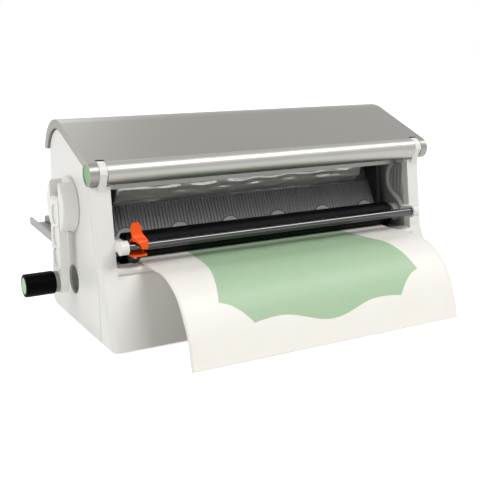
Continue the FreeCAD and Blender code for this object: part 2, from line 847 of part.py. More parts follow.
def make_rollers():
    """Both nip rollers: stepped shafts, rubber sleeves and the bushes they run in."""
    shoulder = inner_half - d.roller_boss - d.clearance
    drive_end = gear_x + d.gear_width + 1
    steps = [
        (-drive_end, d.journal_radius),
        (-shoulder, d.journal_radius),
        (-shoulder, d.collar_radius),
        (shoulder, d.collar_radius),
        (shoulder, d.journal_radius),
        (frame_outer + 1, d.journal_radius),
    ]
    for name, axis_z in (("upper", upper_axis_z), ("lower", lower_axis_z)):
        lathe(f"{name}_roller_shaft", steps, d.nip_y, axis_z)
        sleeve = tube(f"{name}_roller_sleeve", d.sleeve_radius, d.collar_radius + d.fixed_fit,
                      2 * d.sleeve_half, -d.sleeve_half, d.nip_y, axis_z)
        keep(sleeve, f"{name}_roller_sleeve")
    roller_heights = (upper_axis_z, lower_axis_z)
    bushes = [flanged_bush(side, d.nip_y, axis_z, d.roller_boss)
              for side in (-1, 1) for axis_z in roller_heights]
    group("roller_bushes", bushes)


def flanged_bush(side, y, z, depth):
    """A bush in a side frame with a flange or boss of a given depth on the inner face."""
    flange_radius = d.bush_radius + 2.5
    outer_radius = d.bush_radius - d.fixed_fit
    bore = d.journal_radius + d.running_fit
    if side < 0:
        start, flange_start = -frame_outer, -inner_half
    else:
        start, flange_start = inner_half - depth, inner_half - depth
    length = d.frame_wall + depth
    body = rod("bush_body", outer_radius, length, TURN_TO_X, start, y, z)
    flange = rod("bush_flange", flange_radius, depth, TURN_TO_X, flange_start, y, z)
    hole = rod("bush_hole", bore, length, TURN_TO_X, start, y, z)
    return difference("bush", union("bush_whole", body, flange), hole)


PRESSURE_ANGLE = math.radians(20.0)
TOOTH_BACKLASH = 0.12
TURN_TO_SIDE = FreeCAD.Rotation(FreeCAD.Vector(1, 1, 1), 120)


def involute(angle):
    """The involute function of a pressure angle."""
    return math.tan(angle) - angle


def gear_shape(teeth, phase, bore):
    """A spur gear about Z with involute flanks and the middle of one tooth at the phase angle."""
    size = d.gear_module.value
    pitch = size * teeth / 2
    base, tip, foot = pitch * math.cos(PRESSURE_ANGLE), pitch + size, pitch - 1.25 * size
    half_tooth = math.pi / (2 * teeth) - TOOTH_BACKLASH / (2 * pitch)
    flank_start = max(base, foot)
    flank = [flank_start + (tip - flank_start) * step / 3 for step in range(4)]
    spread = [half_tooth + involute(PRESSURE_ANGLE) - involute(math.acos(min(base / r, 1.0))) for r in flank]
    rising = [(foot, -spread[0])] + [(r, -a) for r, a in zip(flank, spread)]
    tooth = rising + [(r, -a) for r, a in reversed(rising)]
    points = []
    for number in range(teeth):
        middle = phase + 2 * math.pi * number / teeth
        points += [FreeCAD.Vector(r * math.cos(middle + a), r * math.sin(middle + a), 0) for r, a in tooth]
    wire = Part.makePolygon(points + points[:1])
    blank = Part.Face(wire).extrude(FreeCAD.Vector(0, 0, d.gear_width.value))
    hole = Part.makeCylinder(as_size(bore).value, d.gear_width.value)
    return blank.cut(hole)


def next_phase(phase, teeth, other_teeth, direction):
    """The meshing gear's phase: its gap faces the first gear's tooth across the line of centres."""
    ahead = phase - direction
    return direction + math.pi - ahead * teeth / other_teeth + math.pi / other_teeth


def direction_to(start, end):
    """The angle in the side view from one axis to another."""
    (start_y, start_z), (end_y, end_z) = start, end
    return math.atan2((end_z - start_z).value, (end_y - start_y).value)


def make_gears():
    """The train from the crank to both rollers, each gear's teeth in mesh with the next."""
    crank, idler = (d.crank_y, d.crank_z), (idler_y, idler_z)
    upper, lower = (d.nip_y, upper_axis_z), (d.nip_y, lower_axis_z)
    pinion_count, idler_count, roller_count = (
        int(count.value) for count in (d.pinion_teeth, d.idler_teeth, d.roller_teeth)
    )
    pinion_phase = direction_to(crank, idler)
    idler_phase = next_phase(pinion_phase, pinion_count, idler_count, direction_to(crank, idler))
    upper_phase = next_phase(idler_phase, idler_count, roller_count, direction_to(idler, upper))
    lower_phase = next_phase(upper_phase, roller_count, roller_count, direction_to(upper, lower))
    fixed_bore = d.journal_radius + d.fixed_fit
    train = [
        ("crank_pinion", pinion_count, pinion_phase, fixed_bore, crank),
        ("idler_gear", idler_count, idler_phase, d.stud_radius + d.running_fit, idler),
        ("upper_roller_gear", roller_count, upper_phase, fixed_bore, upper),
        ("lower_roller_gear", roller_count, lower_phase, fixed_bore, lower),
    ]
    for label, teeth, phase, bore, (y, z) in train:
        shape = gear_shape(teeth, phase, bore)
        solid_feature(label, shape, -gear_x - d.gear_width, y, z, TURN_TO_SIDE)
    head_radius, head_depth = d.stud_radius + 2, 1.2
    stud_end = gear_x + d.gear_width + d.clearance
    shank = rod("stud_shank", d.stud_radius, stud_end - inner_half, TURN_TO_X, -stud_end, idler_y, idler_z)
    head = rod("stud_head", head_radius, head_depth, TURN_TO_X, -stud_end - head_depth, idler_y, idler_z)
    keep(union("idler_stud", shank, head), "idler_stud")


# Crank

hub_outer_x = -(d.half_width + d.hub_gap + d.hub_depth)
arm_outer_x = hub_outer_x - d.arm_proud
arm_inner_x = arm_outer_x + d.arm_wall
arm_pin_x = arm_outer_x + d.arm_wall / 2
slot_floor_x = arm_pin_x + d.arm_head + d.clearance


def make_crank():
    """The hub with its slot, the shaft, the bushes and the pin that the arm folds on."""
    slot_half = d.arm_width / 2 + d.clearance / 2
    hub = new_body("crank_hub")
    disc = circle(sketch_on(hub, "YZ_Plane", hub_outer_x), d.crank_y, d.crank_z, d.hub_radius)
    pad(hub, disc, d.hub_depth)
    soften(hub, 2.0, lambda edge: lies_at_x(edge, hub_outer_x.value))
    side_cut(hub, hub_outer_x, slot_floor_x - hub_outer_x,
             box_corners(d.crank_y - slot_half, d.crank_y + slot_half,
                         d.crank_z - d.hub_radius - 1, d.crank_z + d.hub_radius + 1))
    round_cut(hub, slot_floor_x, 10.0, d.crank_y, d.crank_z, d.journal_radius + d.fixed_fit)
    pin_sketch = circle(sketch_on(hub, "XZ_Plane", -d.crank_y - d.hub_radius), arm_pin_x, d.crank_z,
                        d.arm_pin_radius + d.fixed_fit)
    pin_seat = 6.0
    cut(hub, pin_sketch, d.hub_radius + slot_half + pin_seat)
    shaft_end = inner_half - d.bush_flange - 1
    keep(rod("crank_shaft", d.journal_radius, -shaft_end - slot_floor_x, TURN_TO_X,
             slot_floor_x, d.crank_y, d.crank_z), "crank_shaft")
    pin_half = root(d.hub_radius * d.hub_radius - d.arm_pin_radius * d.arm_pin_radius) - 1
    pin = rod("arm_pin", d.arm_pin_radius, slot_half + pin_seat + pin_half, TURN_TO_Y,
              arm_pin_x, d.crank_y - slot_half - pin_seat, d.crank_z)
    keep(pin, "arm_pin")
    cover_bush = tube("cover_bush", d.bush_radius - d.fixed_fit, d.journal_radius + d.running_fit,
                      d.cover_wall + d.bush_flange, -d.half_width, d.crank_y, d.crank_z)
    group("crank_bushes", [flanged_bush(-1, d.crank_y, d.crank_z, d.bush_flange), cover_bush])


def make_arm():
    """The folding arm with three oval dishes, and the spindle and collar at its end."""
    left, right = d.crank_y - d.arm_width / 2, d.crank_y + d.arm_width / 2
    foot, head = grip_z - d.arm_foot, d.crank_z + d.arm_head
    corner = 8.0
    arm = new_body("crank_arm")
    side_pad(arm, arm_outer_x, d.arm_wall, [
        (left, foot + corner),
        (left + corner, foot, corner, 1),
        (right - corner, foot),
        (right, foot + corner, corner, 1),
        (right, head),
        (left, head),
    ])
    soften(arm, d.arm_wall / 2 - 0.2, lambda edge: is_head_edge(edge, head.value))
    dish_depth, dish_half, dish_reach, dish_pitch = 1.6, 8.0, 10.6, 22.8
    dish_left, dish_right = d.crank_y - dish_half, d.crank_y + dish_half
    dimple_radius, dimple_y = 1.5, d.arm_width / 2 - 4
    for number in range(3):
        middle = d.crank_z - 9 - dish_pitch * number
        low, high = middle - dish_reach + dish_half, middle + dish_reach - dish_half
        side_cut(arm, arm_outer_x, dish_depth, [
            (dish_left, low),
            *half_round((dish_left, low), (dish_right, low), dish_half, 1),
            (dish_right, high),
            *half_round((dish_right, high), (dish_left, high), dish_half, 1),
        ])
        for y in (d.crank_y - dimple_y, d.crank_y + dimple_y):
            round_cut(arm, arm_outer_x, dish_depth, y, middle - dish_pitch / 2, dimple_radius)
    round_cut(arm, arm_outer_x, d.arm_wall, d.crank_y, grip_z, d.spindle_radius + d.fixed_fit)
    pin_sketch = circle(sketch_on(arm, "XZ_Plane", -right), arm_pin_x, d.crank_z,
                        d.arm_pin_radius + d.running_fit)
    cut(arm, pin_sketch, d.arm_width)


def is_head_edge(edge, height):
    """True for the arm's two long edges at its top."""
    box = edge.BoundBox
    return abs(box.ZMin - height) < 0.01 and abs(box.ZMax - height) < 0.01 and box.YLength > 1


def make_knob():
    """The spindle and collar on the arm, and the grip with its cap that turn on them."""
    collar_x = arm_outer_x - d.collar_depth
    grip_end = collar_x - d.clearance - d.grip_length
    cap_depth, spindle_gap = 1.5, 4.0
    spindle_start = grip_end + spindle_gap
    keep(rod("knob_spindle", d.spindle_radius, arm_inner_x - spindle_start, TURN_TO_X,
             spindle_start, d.crank_y, grip_z), "knob_spindle")
    collar = tube("knob_collar", d.knob_collar_radius, d.spindle_radius + d.fixed_fit, d.collar_depth,
                  collar_x, d.crank_y, grip_z)
    keep(collar, "knob_collar")
    grip = new_body("knob_grip")
    sketch = circle(sketch_on(grip, "YZ_Plane", grip_end), d.crank_y, grip_z, d.grip_radius)
    pad(grip, sketch, d.grip_length)
    soften(grip, 1.4, is_round)
    round_cut(grip, grip_end, cap_depth, d.crank_y, grip_z, d.knob_cap_radius)
    round_cut(grip, spindle_start - d.clearance, d.grip_length, d.crank_y, grip_z,
              d.spindle_radius + d.running_fit)
    keep(rod("knob_cap", d.knob_cap_radius - d.fixed_fit, cap_depth, TURN_TO_X,
             grip_end, d.crank_y, grip_z), "knob_cap")


# Cutter

rail_half = inner_half - d.rail_block + 4
slider_start = -inner_half + d.rail_block + d.clearance


def make_cutter():
    """The rod across the mouth, its end blocks, and the slider with its blade."""
    rail = rod("cutter_rail", d.rail_radius, 2 * rail_half, TURN_TO_X, -rail_half, d.rail_y, d.rail_z)
    keep(rail, "cutter_rail")
    boss_radius, web_half = d.rail_radius + 2.5, 5.0
    web_back = front_y(d.rail_z) + 6
    blocks = []
    right_start = inner_half - d.rail_block
    bore_length = rail_half - right_start
    for start, bore_start in ((-inner_half, -rail_half), (right_start, right_start)):
        boss = rod("rail_boss", boss_radius, d.rail_block, TURN_TO_X, start, d.rail_y, d.rail_z)
        web = block("rail_web", (start, d.rail_y, d.rail_z - web_half),
                    (start + d.rail_block, web_back, d.rail_z + web_half))
        bore = rod("rail_bore", d.rail_radius + d.fixed_fit, bore_length, TURN_TO_X,
                   bore_start, d.rail_y, d.rail_z)
        blocks.append(difference("rail_end_block", union("rail_whole", boss, web), bore))
    group("rail_end_blocks", blocks)
    slider = new_body("cutter_slider")
    front, back = d.rail_y - 7, d.rail_y + 6.5
    low, high = d.rail_z - 7.5, d.rail_z + 6.5
    tab_wall, tab_top, tab_round, tab_flare = 4.0, d.rail_z + d.slider_height - 1.5, 6.0, 5.5
    tab_left = slider_start + 1
    tab_right = tab_left + 2 * tab_round
    tab_foot = high + 1
    flange_wall = 2.0
    side_pad(slider, slider_start, d.slider_width, box_corners(front, back, low, high),
             [(d.rail_y, d.rail_z, d.rail_radius + 0.15)])
    soften(slider, 1.5, lambda edge: edge.BoundBox.XLength > 10 and not is_round(edge))
    tab_start, tab_end = (tab_right, tab_top - tab_round), (tab_left, tab_top - tab_round)
    tab = outline(sketch_on(slider, "XZ_Plane", -back), [
        (tab_left, high - 2),
        (tab_right + tab_flare, high - 2),
        (tab_right + tab_flare, tab_foot),
        (tab_right, tab_foot + tab_flare, tab_flare, -1),
        tab_start,
        *half_round(tab_start, tab_end, tab_round, 1),
    ])
    pad(slider, tab, tab_wall)
    side_cut(slider, slider_start, d.slider_width,
             box_corners(front - 1, d.rail_y, low + flange_wall, d.rail_z))
    axle_x, axle_z = slider_start + d.slider_width / 2, sheet_top + 1.2 + d.blade_radius
    axle_radius, blade_wall, axle_length = 1.5, 0.8, 4.0
    lug = outline(sketch_on(slider, "XZ_Plane", -back),
                  box_corners(axle_x - 5, axle_x + 5, axle_z - 3, low + 2))
    pad(slider, lug, tab_wall)
    axle_hole = circle(sketch_on(slider, "XZ_Plane", -back), axle_x, axle_z, axle_radius + d.fixed_fit)
    cut(slider, axle_hole, axle_length - blade_wall - 1.2)
    disc = rod("blade_disc", d.blade_radius, blade_wall, TURN_TO_Y, axle_x, back + d.clearance, axle_z)
    eye = rod("blade_eye", axle_radius + d.fixed_fit, blade_wall, TURN_TO_Y,
              axle_x, back + d.clearance, axle_z)
    keep(difference("cutter_blade", disc, eye), "cutter_blade")
    pin_start = back - axle_length + blade_wall + 1.2
    shank = rod("axle_shank", axle_radius, axle_length + d.clearance - 1.2 + blade_wall, TURN_TO_Y,
                axle_x, pin_start, axle_z)
    head_start = back + d.clearance + blade_wall
    head = rod("axle_head", axle_radius + 1.2, 1.0, TURN_TO_Y, axle_x, head_start, axle_z)
    keep(union("blade_pin", shank, head), "blade_pin")


# Film cartridge and sheet

def make_cartridge():
    """The end plates, the two film rolls on their cores, the feed table and the ribbed guide."""
    plate = [
        (-8.0, floor_z),
        (64.0, floor_z),
        (64.0, d.upper_roll_z + 16),
        (d.upper_roll_y + 16, d.upper_roll_z + 32),
        (d.upper_roll_y - 16, d.upper_roll_z + 32),
        (-8.0, d.upper_roll_z + 6),
        (-14.0, 96.0),
    ]
    pin_hole = d.core_pin_radius + d.running_fit
    holes = [(d.upper_roll_y, d.upper_roll_z, pin_hole), (d.lower_roll_y, d.lower_roll_z, pin_hole)]
    for label, start in (("cartridge_left_plate", -d.plate_start - d.plate_wall),
                         ("cartridge_right_plate", d.plate_start)):
        side_pad(new_body(label), start, d.plate_wall, plate, holes)
    core_half = d.plate_start - 6
    pin_end = d.plate_start + d.plate_wall
    steps = [
        (-pin_end, d.core_pin_radius),
        (-core_half, d.core_pin_radius),
        (-core_half, d.core_radius),
        (core_half, d.core_radius),
        (core_half, d.core_pin_radius),
        (pin_end, d.core_pin_radius),
    ]
    for name, y, z in (("upper", d.upper_roll_y, d.upper_roll_z), ("lower", d.lower_roll_y, d.lower_roll_z)):
        lathe(f"{name}_film_core", steps, y, z)
        roll = tube(f"{name}_film_roll", d.roll_radius, d.core_radius + d.fixed_fit, d.film_width,
                    -film_half, y, z)
        keep(roll, f"{name}_film_roll")
    table_front, table_rear, table_wall = d.nip_y + 27, rear_y(d.nip_z, d.shell_wall), 2.5
    keep(block("feed_table", (-d.plate_start, table_front, sheet_under - table_wall),
               (d.plate_start, table_rear, sheet_under)), "feed_table")


GUIDE_LOW = (d.nip_y + 21, d.nip_z + 9)
GUIDE_HIGH = (d.nip_y + 39, d.nip_z + 47)
GUIDE_WALL, RIB_HEIGHT = 2.5, 1.4


def guide_turn():
    """The turn that lays local Y up the guide's slope, and the slope's length."""
    rise_y = (GUIDE_HIGH[0] - GUIDE_LOW[0]).value
    rise_z = (GUIDE_HIGH[1] - GUIDE_LOW[1]).value
    slope = math.degrees(math.atan2(rise_z, rise_y))
    return FreeCAD.Rotation(FreeCAD.Vector(1, 0, 0), slope), math.hypot(rise_y, rise_z)


def make_guide():
    """The ribbed film guide above the nip, with a row of round buttons on it."""
    turn, length = guide_turn()
    half, pitch = d.plate_start.value, d.rib_pitch.value
    count = int(2 * half / pitch)
    margin = half - pitch * count / 2
    points = [(-half, -GUIDE_WALL), (-half, 0.0)]
    for number in range(count):
        start = -half + margin + pitch * number
        points += [(start + pitch * 0.25, 0.0), (start + pitch * 0.25, RIB_HEIGHT),
                   (start + pitch * 0.75, RIB_HEIGHT), (start + pitch * 0.75, 0.0)]
    points += [(half, 0.0), (half, -GUIDE_WALL)]
    corners = [FreeCAD.Vector(x, 0, z) for x, z in points]
    face = Part.Face(Part.makePolygon(corners + corners[:1]))
    guide = face.extrude(FreeCAD.Vector(0, length, 0))
    solid_feature("film_guide", guide, 0.0, *GUIDE_LOW, turn)
    button_wall, button_place, foot_margin = 1.5, 5.0, 0.5
    window = Part.makeBox(2 * half, length, button_wall, FreeCAD.Vector(-half, foot_margin, RIB_HEIGHT))
    discs = []
    for number in range(6):
        x = d.button_pitch.value * (number - 2.5)
        centre = FreeCAD.Vector(x, button_place, RIB_HEIGHT)
        discs.append(Part.makeCylinder(d.button_radius.value, button_wall, centre).common(window))
    solid_feature("guide_buttons", Part.Compound(discs), 0.0, *GUIDE_LOW, turn)


def web_corners(foot_y, foot_z, roll_y, roll_z, side):
    """A flat web from a foot on the sheet to the front of a roll, which it meets at a tangent."""
    radius = d.roll_radius + d.clearance
    run_y, run_z = roll_y - foot_y, roll_z - foot_z
    square = run_y * run_y + run_z * run_z
    length = root(square - radius * radius)
    top_y = foot_y + length * (run_y * length - side * run_z * radius) / square
    top_z = foot_z + length * (run_z * length + side * run_y * radius) / square
    wall = d.sheet_wall * 1.1
    corners = [(foot_y, foot_z), (top_y, top_z), (top_y - wall, top_z), (foot_y - wall, foot_z)]
    return corners if side > 0 else corners[::-1]


BEND_START_Y = -100.0
FIRST_BEND, SECOND_BEND = as_size(52.0), as_size(76.0)
FIRST_RADIUS, SECOND_RADIUS = 62.0, 95.0
FLOOR_GAP = 0.4


def make_film():
    """The two film webs and the laminated sheet that bends down to the floor in front."""
    for label, foot_y, foot_z, roll_y, roll_z, side in (
        ("upper_film_web", d.nip_y + 13.5, sheet_top, d.upper_roll_y, d.upper_roll_z, 1),
        ("lower_film_web", d.nip_y + 19, sheet_under, d.lower_roll_y, d.lower_roll_z, -1),
    ):
        corners = web_corners(foot_y, foot_z, roll_y, roll_z, side)
        side_pad(new_body(label), -film_half, d.film_width, corners)
    tail_y = d.nip_y + 43
    half = d.sheet_wall / 2
    first_z = d.nip_z - FIRST_RADIUS
    step = FIRST_RADIUS - SECOND_RADIUS
    second_y = BEND_START_Y - step * sine(FIRST_BEND)
    second_z = first_z + step * cosine(FIRST_BEND)

    def on_first(offset):
        radius = FIRST_RADIUS + offset
        return BEND_START_Y - radius * sine(FIRST_BEND), first_z + radius * cosine(FIRST_BEND), radius

    def on_second(offset):
        radius = SECOND_RADIUS + offset
        return second_y - radius * sine(SECOND_BEND), second_z + radius * cosine(SECOND_BEND), radius

    def on_floor(offset):
        y, z, radius = on_second(offset)
        return y - (z - FLOOR_GAP) * cosine(SECOND_BEND) / sine(SECOND_BEND), as_size(FLOOR_GAP)

    top_first, top_second = on_first(half), on_second(half)
    low_second = on_second(-half)
    low_radius = FIRST_RADIUS - half
    side_pad(new_body("laminated_sheet"), -film_half, d.film_width, [
        (tail_y, sheet_under),
        (tail_y, sheet_top),
        (BEND_START_Y, sheet_top),
        (*top_first, 1),
        (*top_second, 1),
        on_floor(half),
        on_floor(-half),
        low_second[:2],
        (*on_first(-half)[:2], low_second[2], -1),
        (BEND_START_Y, sheet_under, low_radius, -1),
    ])


# Feed tray

def tray_z(y, height):
    """A height above the tray's underside at a place along its gentle rise."""
    return d.tray_axis_z - d.tray_depth / 2 + height + (y - d.tray_axis_y) * d.tray_rise


def make_tray():
    """The feed tray: a panel between two channelled rails, on pins in the rear panel's ears."""
    tray = new_body("feed_tray")
    rear = d.tray_axis_y + d.tray_reach
    front = d.tray_axis_y - 6
    floor_front = d.tray_axis_y + 7
    panel_half = d.tray_half - d.rail_width
    round_radius = d.tray_depth / 2
    horn = 3.0
    panel = [
        (front, tray_z(front, d.tray_depth - d.tray_wall)),
        (rear - 2, tray_z(rear, d.tray_depth - d.tray_wall)),
        (rear - 2, tray_z(rear, d.tray_depth)),
        (front, tray_z(front, d.tray_depth)),
    ]
    side_pad(tray, -panel_half, 2 * panel_half, panel)
    wall = [
        (d.tray_axis_y, d.tray_axis_z - round_radius, round_radius, 1),
        (rear - horn, tray_z(rear, 0.0)),
        (rear, tray_z(rear, 0.0) + horn, horn, 1),
        (rear, tray_z(rear, d.tray_depth) - horn),
        (rear - horn, tray_z(rear, d.tray_depth), horn, 1),
        (d.tray_axis_y, d.tray_axis_z + round_radius),
        (d.tray_axis_y - round_radius, d.tray_axis_z, round_radius, 1),
    ]
    channel = [
        (floor_front, tray_z(floor_front, 0.0)),
        (rear - 6, tray_z(rear, 0.0)),
        (rear - 6, tray_z(rear, d.tray_wall)),
        (floor_front, tray_z(floor_front, d.tray_wall)),
    ]
    pin_hole = (d.tray_axis_y, d.tray_axis_z, d.tray_pin_radius + d.fixed_fit)
    channel_width = d.rail_width - 2 * d.tray_wall
    for inner_x, channel_x, outer_x in (
        (-panel_half - d.tray_wall, -panel_half - d.tray_wall - channel_width, -d.tray_half),
        (panel_half, panel_half + d.tray_wall, d.tray_half - d.tray_wall),
    ):
        side_pad(tray, inner_x, d.tray_wall, wall, [pin_hole])
        side_pad(tray, channel_x, channel_width, channel)
        side_pad(tray, outer_x, d.tray_wall, wall, [pin_hole])
    pin_length = d.rail_width - 1
    pins = [rod("tray_pin", d.tray_pin_radius, pin_length, TURN_TO_X, x, d.tray_axis_y, d.tray_axis_z)
            for x in (-d.tray_half + 0.5, panel_half + 0.5)]
    group("tray_pins", pins)


MAKERS = (
    make_base, make_frames, make_covers, make_fascia, make_crossbars, make_lid, make_hinge, make_rollers,
    make_gears, make_crank, make_arm, make_knob, make_cutter, make_cartridge, make_guide, make_film,
    make_tray,
)
for maker in MAKERS:
    maker()
doc.recompute()

# Nothing is written unless every object and every shape is sound
for obj in doc.Objects:
    if "Invalid" in obj.State or "Error" in obj.State:
        raise RuntimeError(f"{obj.Label} failed: {obj.State}")
for label, obj in PARTS.items():
    if obj.Shape.isNull() or not obj.Shape.isValid() or not obj.Shape.Solids:
        raise RuntimeError(f"{label} has no sound shape")

os.makedirs("parts", exist_ok=True)
for label, obj in PARTS.items():
    obj.Shape.exportStep(f"parts/{label}.step")
    box = obj.Shape.BoundBox
    print(f"{label:24s} solids {len(obj.Shape.Solids):2d}  volume {obj.Shape.Volume / 1000:9.2f} cm3"
          f"  x {box.XMin:7.1f} {box.XMax:7.1f}  y {box.YMin:7.1f} {box.YMax:7.1f}"
          f"  z {box.ZMin:6.1f} {box.ZMax:6.1f}")
print(f"{len(PARTS)} sub-parts")
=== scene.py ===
# %% [markdown]
# # A hand-cranked cold laminator
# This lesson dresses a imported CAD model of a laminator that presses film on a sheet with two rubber
# rollers. The CAD gives every rigid solid in metres, so the lesson adds the camera, the light, the
# finishes, and the few pieces that are thin, printed or flexible.

import bpy
import numpy as np
from mathutils import Matrix


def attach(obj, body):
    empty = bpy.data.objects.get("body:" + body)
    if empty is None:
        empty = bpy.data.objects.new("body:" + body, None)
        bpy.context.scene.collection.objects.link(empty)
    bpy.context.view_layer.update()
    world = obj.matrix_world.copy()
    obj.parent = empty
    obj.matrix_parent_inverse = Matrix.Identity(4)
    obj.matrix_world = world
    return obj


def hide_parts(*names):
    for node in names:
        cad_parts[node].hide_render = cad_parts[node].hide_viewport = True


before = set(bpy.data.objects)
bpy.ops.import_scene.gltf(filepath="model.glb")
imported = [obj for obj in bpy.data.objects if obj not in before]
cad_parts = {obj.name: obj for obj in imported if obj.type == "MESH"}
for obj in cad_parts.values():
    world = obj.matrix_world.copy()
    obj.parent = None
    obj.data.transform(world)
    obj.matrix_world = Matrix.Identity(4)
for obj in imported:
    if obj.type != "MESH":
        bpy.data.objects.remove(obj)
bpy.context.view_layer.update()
MM = 0.001

# %% [markdown]
# ## Camera
# The photograph's straight edges fix where the camera stood: about 29 degrees to the left of the front
# and 12 degrees above the level. The view direction is built from yaw, pitch and roll, because a
# camera looks along its own -Z axis with +Y up. The small shift puts the optical centre where the
# picture was cropped.

# %% Camera
PICTURE = 480
FOCAL_PIXELS = 821.3
CENTRE_PIXEL = np.array([232.65, 219.89])
CAMERA_PLACE = np.array([-457.7, -795.9, 287.8]) * MM
yaw, pitch, roll = np.radians([28.63, -11.96, -0.36])
ahead = np.array([np.sin(yaw) * np.cos(pitch), np.cos(yaw) * np.cos(pitch), np.sin(pitch)])
level = np.array([np.cos(yaw), -np.sin(yaw), 0.0])
upright = np.cross(level, ahead)
right = level * np.cos(roll) + upright * np.sin(roll)
upward = upright * np.cos(roll) - level * np.sin(roll)
placed = np.eye(4)
placed[:3] = np.column_stack([right, upward, -ahead, CAMERA_PLACE])
lens = bpy.data.cameras.new("photo_camera")
lens.sensor_width = 36.0
lens.lens = FOCAL_PIXELS / PICTURE * lens.sensor_width
lens.shift_x = (PICTURE / 2 - CENTRE_PIXEL[0]) / PICTURE
lens.shift_y = (CENTRE_PIXEL[1] - PICTURE / 2) / PICTURE
camera = bpy.data.objects.new("photo_camera", lens)
camera.matrix_world = Matrix(placed.tolist())
bpy.context.scene.collection.objects.link(camera)
bpy.context.scene.camera = camera
print("lens", round(lens.lens, 1), "mm")

# %% [markdown]
# ## Colours and nodes
# Colours are written as the sRGB hex values that a screen shows. A shader works in linear light, so
# one function turns them. One more function adds a node with its settings and its links. A finish is
# then a shader whose colour and roughness wander a little, because no real surface is quite even.

# %% Helpers for finishes
def linear(code):
    """Turns an sRGB hex colour to linear: each channel is divided by 12.92 near black, else a power."""
    values = np.array([int(code[i:i + 2], 16) for i in (1, 3, 5)]) / 255
    bent = np.where(values <= 0.04045, values / 12.92, ((values + 0.055) / 1.055) ** 2.4)
    return (*bent.tolist(), 1.0)


def add_node(tree, kind, inputs=None, **settings):
    """Adds one node: settings are its properties, and inputs are values or links by socket."""
    node = tree.nodes.new(kind)
    for name, value in settings.items():
        setattr(node, name, value)
    for key, value in (inputs or {}).items():
        if isinstance(value, bpy.types.NodeSocket):
            tree.links.new(value, node.inputs[key])
        else:
            node.inputs[key].default_value = value
    return node


def start_finish(name, **values):
    """Starts a material with one shader, and returns it with its tree, shader and coordinates."""
    material = bpy.data.materials.new(name)
    material.use_nodes = True
    tree = material.node_tree
    tree.nodes.clear()
    shader = add_node(tree, "ShaderNodeBsdfPrincipled",
                      {key.replace("_", " "): value for key, value in values.items()})
    add_node(tree, "ShaderNodeOutputMaterial", {"Surface": shader.outputs[0]})
    place = add_node(tree, "ShaderNodeTexCoord").outputs["Object"]
    return material, tree, shader, place


# %% Grained finish
def grained(name, low, high, rough, size_mm, bump_mm, stretch=(1, 1, 1), **values):
    """A finish whose colour and roughness wander between two values over a grain of a real size.

    The grain is noise with one cell per size_mm. Stretch divides the cell count along an axis, so a
    large number there draws long streaks. The same noise lifts the surface by about bump_mm.
    """
    material, tree, shader, place = start_finish(name, **values)
    per_metre = tuple(1 / (size_mm * MM * s) for s in stretch)
    scaled = add_node(tree, "ShaderNodeMapping", {"Vector": place, "Scale": per_metre})
    noise = add_node(tree, "ShaderNodeTexNoise",
                     {"Vector": scaled.outputs[0], "Scale": 1.0, "Detail": 3.0, "Roughness": 0.55})
    tone = add_node(tree, "ShaderNodeMix",
                    {0: noise.outputs[0], 6: linear(low), 7: linear(high)}, data_type="RGBA")
    tree.links.new(tone.outputs[2], shader.inputs["Base Color"])
    gloss = add_node(tree, "ShaderNodeMapRange",
                     {"Value": noise.outputs[0], "From Min": 0.25, "From Max": 0.75,
                      "To Min": rough[0], "To Max": rough[1]})
    tree.links.new(gloss.outputs[0], shader.inputs["Roughness"])
    lift = add_node(tree, "ShaderNodeBump",
                    {"Height": noise.outputs[0], "Strength": 1.0, "Distance": bump_mm * MM})
    tree.links.new(lift.outputs[0], shader.inputs["Normal"])
    return material


def second_tone(material, mask, low, high):
    """Mixes a second pair of colours into a grained finish, where mask(tree, coordinates) is near 1."""
    tree = material.node_tree
    shader = next(node for node in tree.nodes if node.type == "BSDF_PRINCIPLED")
    place = next(node for node in tree.nodes if node.type == "TEX_COORD").outputs["Object"]
    noise = next(node for node in tree.nodes if node.type == "TEX_NOISE").outputs[0]
    plain = shader.inputs["Base Color"].links[0].from_socket
    other = add_node(tree, "ShaderNodeMix", {0: noise, 6: linear(low), 7: linear(high)},
                     data_type="RGBA")
    both = add_node(tree, "ShaderNodeMix", {0: mask(tree, place), 6: plain, 7: other.outputs[2]},
                    data_type="RGBA")
    tree.links.new(both.outputs[2], shader.inputs["Base Color"])


def dress(material, *nodes):
    """Gives CAD nodes a finish."""
    for node in nodes:
        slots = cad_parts[node].data.materials
        slots.clear()
        slots.append(material)
    print(material.name, "on", ", ".join(nodes))


# %% [markdown]
# ## White housing
# The shell is ABS moulded in a tool with a fine spark-eroded grain. That gives a soft white with a low
# sheen and no mirror. The real grain is about 0.3 mm, too fine to show, so it is drawn at 1.2 mm. The
# inside of the machine is the same plastic in plain greys with a coarser grain.

# %% Housing plastics
ABS_IOR = 1.53
# Sparked white: light spreads softly, and an edge shows only as a change of shade.
white_abs = grained("moulded_white_abs", "#E8E7E2", "#F1F0EC", (0.36, 0.46), 1.2, 0.012,
                    IOR=ABS_IOR)
dress(white_abs, "front_fascia", "left_side_cover", "right_side_cover", "crank_hub", "crank_arm",
      "rail_end_blocks", "lower_rear_panel", "upper_rear_panel")
# Grey with a duller grain: the inside of the mouth stays quiet behind the white front.
inner_abs = grained("moulded_grey_abs", "#9A9999", "#A8A7A6", (0.42, 0.55), 1.6, 0.015, IOR=ABS_IOR)
dress(inner_abs, "base_pan", "left_side_frame", "right_side_frame", "feed_table", "roller_bushes")
# A paler grey: the pocket reads as a hollow and not as a black hole.
pocket_abs = grained("moulded_pocket_abs", "#B8B8B4", "#C6C6C2", (0.42, 0.55), 1.6, 0.015,
                     IOR=ABS_IOR)
dress(pocket_abs, "knob_pocket")

